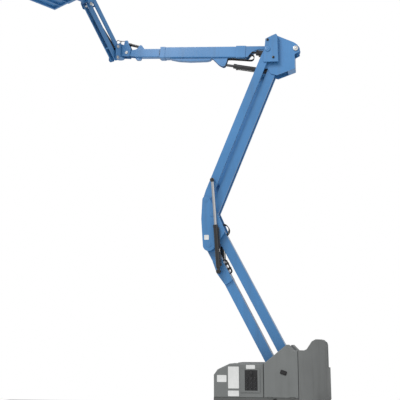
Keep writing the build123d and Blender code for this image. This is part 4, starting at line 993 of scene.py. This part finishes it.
def hose_routes():
    """Name, body and points of each free hose."""
    turn = jib_turn()
    return (
        ("elbow_hose_outer", "lower_arm_rear", in_plane(ELBOW_LOOP, 0.075)),
        ("elbow_hose_middle", "lower_arm_rear", in_plane(ELBOW_LOOP, 0.050, (-0.004, -0.008))),
        ("elbow_hose_inner", "lower_arm_rear", in_plane(ELBOW_LOOP, 0.025, (-0.008, -0.016))),
        ("boom_hose_left", "boom", in_plane(BOOM_LOOP, 0.022)),
        ("boom_hose_middle", "boom", in_plane(BOOM_LOOP, 0.0, (0.004, -0.003))),
        ("boom_hose_right", "boom", in_plane(BOOM_LOOP, -0.022, (0.008, -0.006))),
        ("tip_hose", "level_bracket", TIP_LOOP),
        ("jib_hose", "jib_swing", [tuple(turn @ Vector(place)) for place in YOKE_LOOP]),
    )


class LIFT_OT_hoses(Operator):
    """Free hoses at the elbow, under the boom, at its tip and on the jib's yoke, and their swivel"""

    bl_idname = "boom_lift.hoses"
    bl_label = "Hoses"

    def execute(self, context):
        diameter = context.scene.lift_sizes.hose_diameter
        for name, body, route in hose_routes():
            line = bpy.data.curves.new(name, "CURVE")
            line.dimensions = "3D"
            line.bevel_depth = diameter / 2
            line.bevel_resolution = 5
            line.resolution_u = 10
            line.use_fill_caps = True
            spline = line.splines.new("NURBS")
            spline.points.add(len(route) - 1)
            for point, place in zip(spline.points, route):
                point.co = (*place, 1)
            spline.order_u = 3
            spline.use_endpoint_u = True
            hose = bpy.data.objects.new(name, line)
            context.scene.collection.objects.link(hose)
            fit(hose, body, "hose rubber")
        swing, _ = joint_place("jib_swing")
        swivel = add_round("hose_swivel", SWIVEL_RADIUS, SWIVEL_LENGTH, 20,
                           (swing.x, swing.y, SWIVEL_MIDDLE), "Z")
        open_edit(swivel)
        pick(swivel, "faces", facing("Z"))
        extrude((0, 0, 0.004))
        bpy.ops.transform.resize(value=(COLLAR_SHARE, COLLAR_SHARE, 1.0),
                                 center_override=(swing.x, swing.y, COLLAR_HEIGHT))
        extrude((0, 0, 0.012))
        inset(0.003, 0.002)
        close_edit(swivel)
        fit(swivel, "jib_swing", "zinc fastener")
        return {"FINISHED"}


# In the jib's own frame; heights above the platform's floor
FLOOR_REAR, FLOOR_FRONT, FLOOR_HALF, FLOOR_TOP = 1.0506, 1.6506, 0.585, 7.4284
BAR_WIDTH, BAR_HEIGHT, BAR_END, BAR_EDGE = 0.012, 0.004, 0.03, 0.05
KNOB_RADIUS, KNOB_LENGTH, KNOB_BACK, KNOB_HEIGHT = 0.020, 0.034, 0.137, 1.250
KNOB_SIDES = (-0.12, 0.12)
STOP_RADIUS, STOP_DEPTH, STOP_AHEAD, STOP_HEIGHT = 0.024, 0.022, 0.005, 1.241
GATE_LATCH_SIZE, GATE_LATCH_PLACE = (0.034, 0.026, 0.070), (1.2166, 0.535, FLOOR_TOP + 0.94)


class LIFT_OT_platform(Operator):
    """Anti-slip bars, lever knobs, stop button and gate latch of the platform"""

    bl_idname = "boom_lift.platform"
    bl_label = "Platform fittings"

    def execute(self, context):
        sizes = context.scene.lift_sizes
        turn = jib_turn()
        bar = add_block("floor_bar", (FLOOR_FRONT - FLOOR_REAR - 2 * BAR_END, BAR_WIDTH, BAR_HEIGHT),
                        ((FLOOR_REAR + FLOOR_FRONT) / 2, 0, FLOOR_TOP + BAR_HEIGHT / 2))
        open_edit(bar)
        step_face(bar, "Z", ((0.003, 0.001),))
        close_edit(bar, 20)
        bars = []
        first = BAR_EDGE - FLOOR_HALF
        for i in range(sizes.floor_bars):
            y = first - i * 2 * first / (sizes.floor_bars - 1)
            bars.append(copy_of(bar, f"floor_bar_{i}", turn @ Matrix.Translation((0, y, 0))))
        bpy.data.objects.remove(bar)
        fit(joined(bars, "platform_floor_bars"), "platform", "boom enamel")
        knob = add_round("lever_knob", KNOB_RADIUS, KNOB_LENGTH, 24,
                         (FLOOR_FRONT - KNOB_BACK, 0, FLOOR_TOP + KNOB_HEIGHT), "Z")
        open_edit(knob)
        upright = runs_along("Z", 0.001)
        pick(knob, "edges", lambda edge: not upright(edge))
        bevel(0.012, 4)
        close_edit(knob, 40)
        knobs = [copy_of(knob, "lever_knob_pair", turn @ Matrix.Translation((0, y, 0))) for y in KNOB_SIDES]
        bpy.data.objects.remove(knob)
        fit(joined(knobs, "platform_lever_knobs"), "platform", "panel plastic")
        stop = add_round("platform_stop", STOP_RADIUS, STOP_DEPTH, 32,
                         (FLOOR_FRONT + STOP_AHEAD, 0, FLOOR_TOP + STOP_HEIGHT), "Z")
        open_edit(stop)
        step_face(stop, "Z", STOP_STEPS)
        close_edit(stop, 45)
        stop.data.transform(turn)
        fit(stop, "platform", "stop button")
        latch = rounded_block("gate_latch", GATE_LATCH_SIZE, GATE_LATCH_PLACE, "Y", 0.006, 3)
        step_face(latch, "Y", ((0.005, 0.001), (0.004, 0.0)), -1)
        extrude((0, -0.016, 0))
        close_edit(latch, 30)
        latch.data.transform(turn)
        fit(latch, "platform_gate", "panel plastic")
        return {"FINISHED"}


STUDIO_SIZE, STUDIO_DROP, STUDIO_ROUGHNESS = 18, -0.001, 0.9
SKY_STRENGTH = 0.62
# Name, place, aim, size and power of each light
LIGHTS = (
    ("key light", (6.0, 10.0, 15.0), (0.8, 0.0, 4.0), 6.0, 1150.0),
    ("fill light", (-9.0, 8.0, 6.0), (0.5, 0.0, 3.5), 8.0, 120.0),
)
# The camera fitted to the photograph, angles in degrees
PHOTO_WIDTH, FOCAL_PIXELS, SENSOR_WIDTH = 400, 750.08, 36.0
CAMERA_PLACE = (-1.2544, 12.2268, 1.5)
CAMERA_YAW, CAMERA_PITCH = 12.0, 11.12
CAMERA_REACH = 400.0


class LIFT_OT_stage(Operator):
    """Pale floor, soft studio light and the camera"""

    bl_idname = "boom_lift.stage"
    bl_label = "Stage"

    def execute(self, context):
        scene = context.scene
        clear_selection()
        bpy.ops.mesh.primitive_plane_add(size=STUDIO_SIZE, location=(0, 0, STUDIO_DROP))
        floor = settle("studio_floor")
        ground = bpy.data.materials.new("studio floor")
        ground.use_nodes = True
        set_inputs(ground.node_tree.nodes["Principled BSDF"],
                   {"Base Color": (*scene.lift_colours.floor_pale, 1), "Roughness": STUDIO_ROUGHNESS})
        floor.data.materials.append(ground)
        world = bpy.data.worlds.new("studio")
        world.use_nodes = True
        tree = world.node_tree
        sky = tree.nodes["Background"]
        set_inputs(sky, {"Color": (1.0, 1.0, 1.0, 1), "Strength": SKY_STRENGTH})
        backdrop = tree.nodes.new("ShaderNodeBackground")
        set_inputs(backdrop, {"Color": (1.0, 1.0, 1.0, 1)})
        seen = tree.nodes.new("ShaderNodeMixShader")
        tree.links.new(tree.nodes.new("ShaderNodeLightPath").outputs["Is Camera Ray"], seen.inputs["Fac"])
        tree.links.new(sky.outputs["Background"], seen.inputs[1])
        tree.links.new(backdrop.outputs["Background"], seen.inputs[2])
        tree.links.new(seen.outputs["Shader"], tree.nodes["World Output"].inputs["Surface"])
        scene.world = world
        for name, place, aim, size, power in LIGHTS:
            lamp = bpy.data.lights.new(name, "AREA")
            lamp.energy = power
            lamp.size = size
            light = bpy.data.objects.new(name, lamp)
            light.location = place
            light.rotation_euler = (Vector(aim) - Vector(place)).to_track_quat("-Z", "Y").to_euler()
            scene.collection.objects.link(light)
        lens = bpy.data.cameras.new("photo camera")
        lens.sensor_width = SENSOR_WIDTH
        lens.lens = FOCAL_PIXELS / PHOTO_WIDTH * SENSOR_WIDTH
        lens.clip_end = CAMERA_REACH
        camera = bpy.data.objects.new("photo camera", lens)
        yaw, pitch = radians(CAMERA_YAW), radians(CAMERA_PITCH)
        ahead = Vector((sin(yaw) * cos(pitch), -cos(yaw) * cos(pitch), sin(pitch)))
        camera.location = CAMERA_PLACE
        camera.rotation_euler = ahead.to_track_quat("-Z", "Y").to_euler()
        scene.collection.objects.link(camera)
        scene.camera = camera
        scene.view_settings.view_transform = "Standard"
        return {"FINISHED"}


STEPS = (LIFT_OT_stage, LIFT_OT_finishes, LIFT_OT_hoses, LIFT_OT_tyres, LIFT_OT_wheel_nuts,
         LIFT_OT_pin_caps, LIFT_OT_bolts, LIFT_OT_boom_fittings, LIFT_OT_hose_clamps, LIFT_OT_wear_pads,
         LIFT_OT_sign_plates, LIFT_OT_latches, LIFT_OT_controls, LIFT_OT_platform)


class LIFT_PT_panel(Panel):
    """Lists the steps that dress the lift"""

    bl_label = "Boom Lift"
    bl_idname = "LIFT_PT_panel"
    bl_space_type = "VIEW_3D"
    bl_region_type = "UI"
    bl_category = "Boom Lift"

    def draw(self, context):
        for step in STEPS:
            self.layout.operator(step.bl_idname)


CLASSES = (LiftSizes, LiftColours, *STEPS, LIFT_PT_panel)


def register():
    for item in CLASSES:
        bpy.utils.register_class(item)
    bpy.types.Scene.lift_sizes = PointerProperty(type=LiftSizes)
    bpy.types.Scene.lift_colours = PointerProperty(type=LiftColours)


def unregister():
    del bpy.types.Scene.lift_colours
    del bpy.types.Scene.lift_sizes
    for item in reversed(CLASSES):
        bpy.utils.unregister_class(item)


def main():
    register()
    bpy.ops.boom_lift.stage()
    bpy.ops.boom_lift.finishes()
    bpy.ops.boom_lift.hoses()
    bpy.ops.boom_lift.tyres()
    bpy.ops.boom_lift.wheel_nuts()
    bpy.ops.boom_lift.pin_caps()
    bpy.ops.boom_lift.bolts()
    bpy.ops.boom_lift.boom_fittings()
    bpy.ops.boom_lift.hose_clamps()
    bpy.ops.boom_lift.wear_pads()
    bpy.ops.boom_lift.sign_plates()
    bpy.ops.boom_lift.latches()
    bpy.ops.boom_lift.controls()
    bpy.ops.boom_lift.platform()


if __name__ == "__main__":
    main()
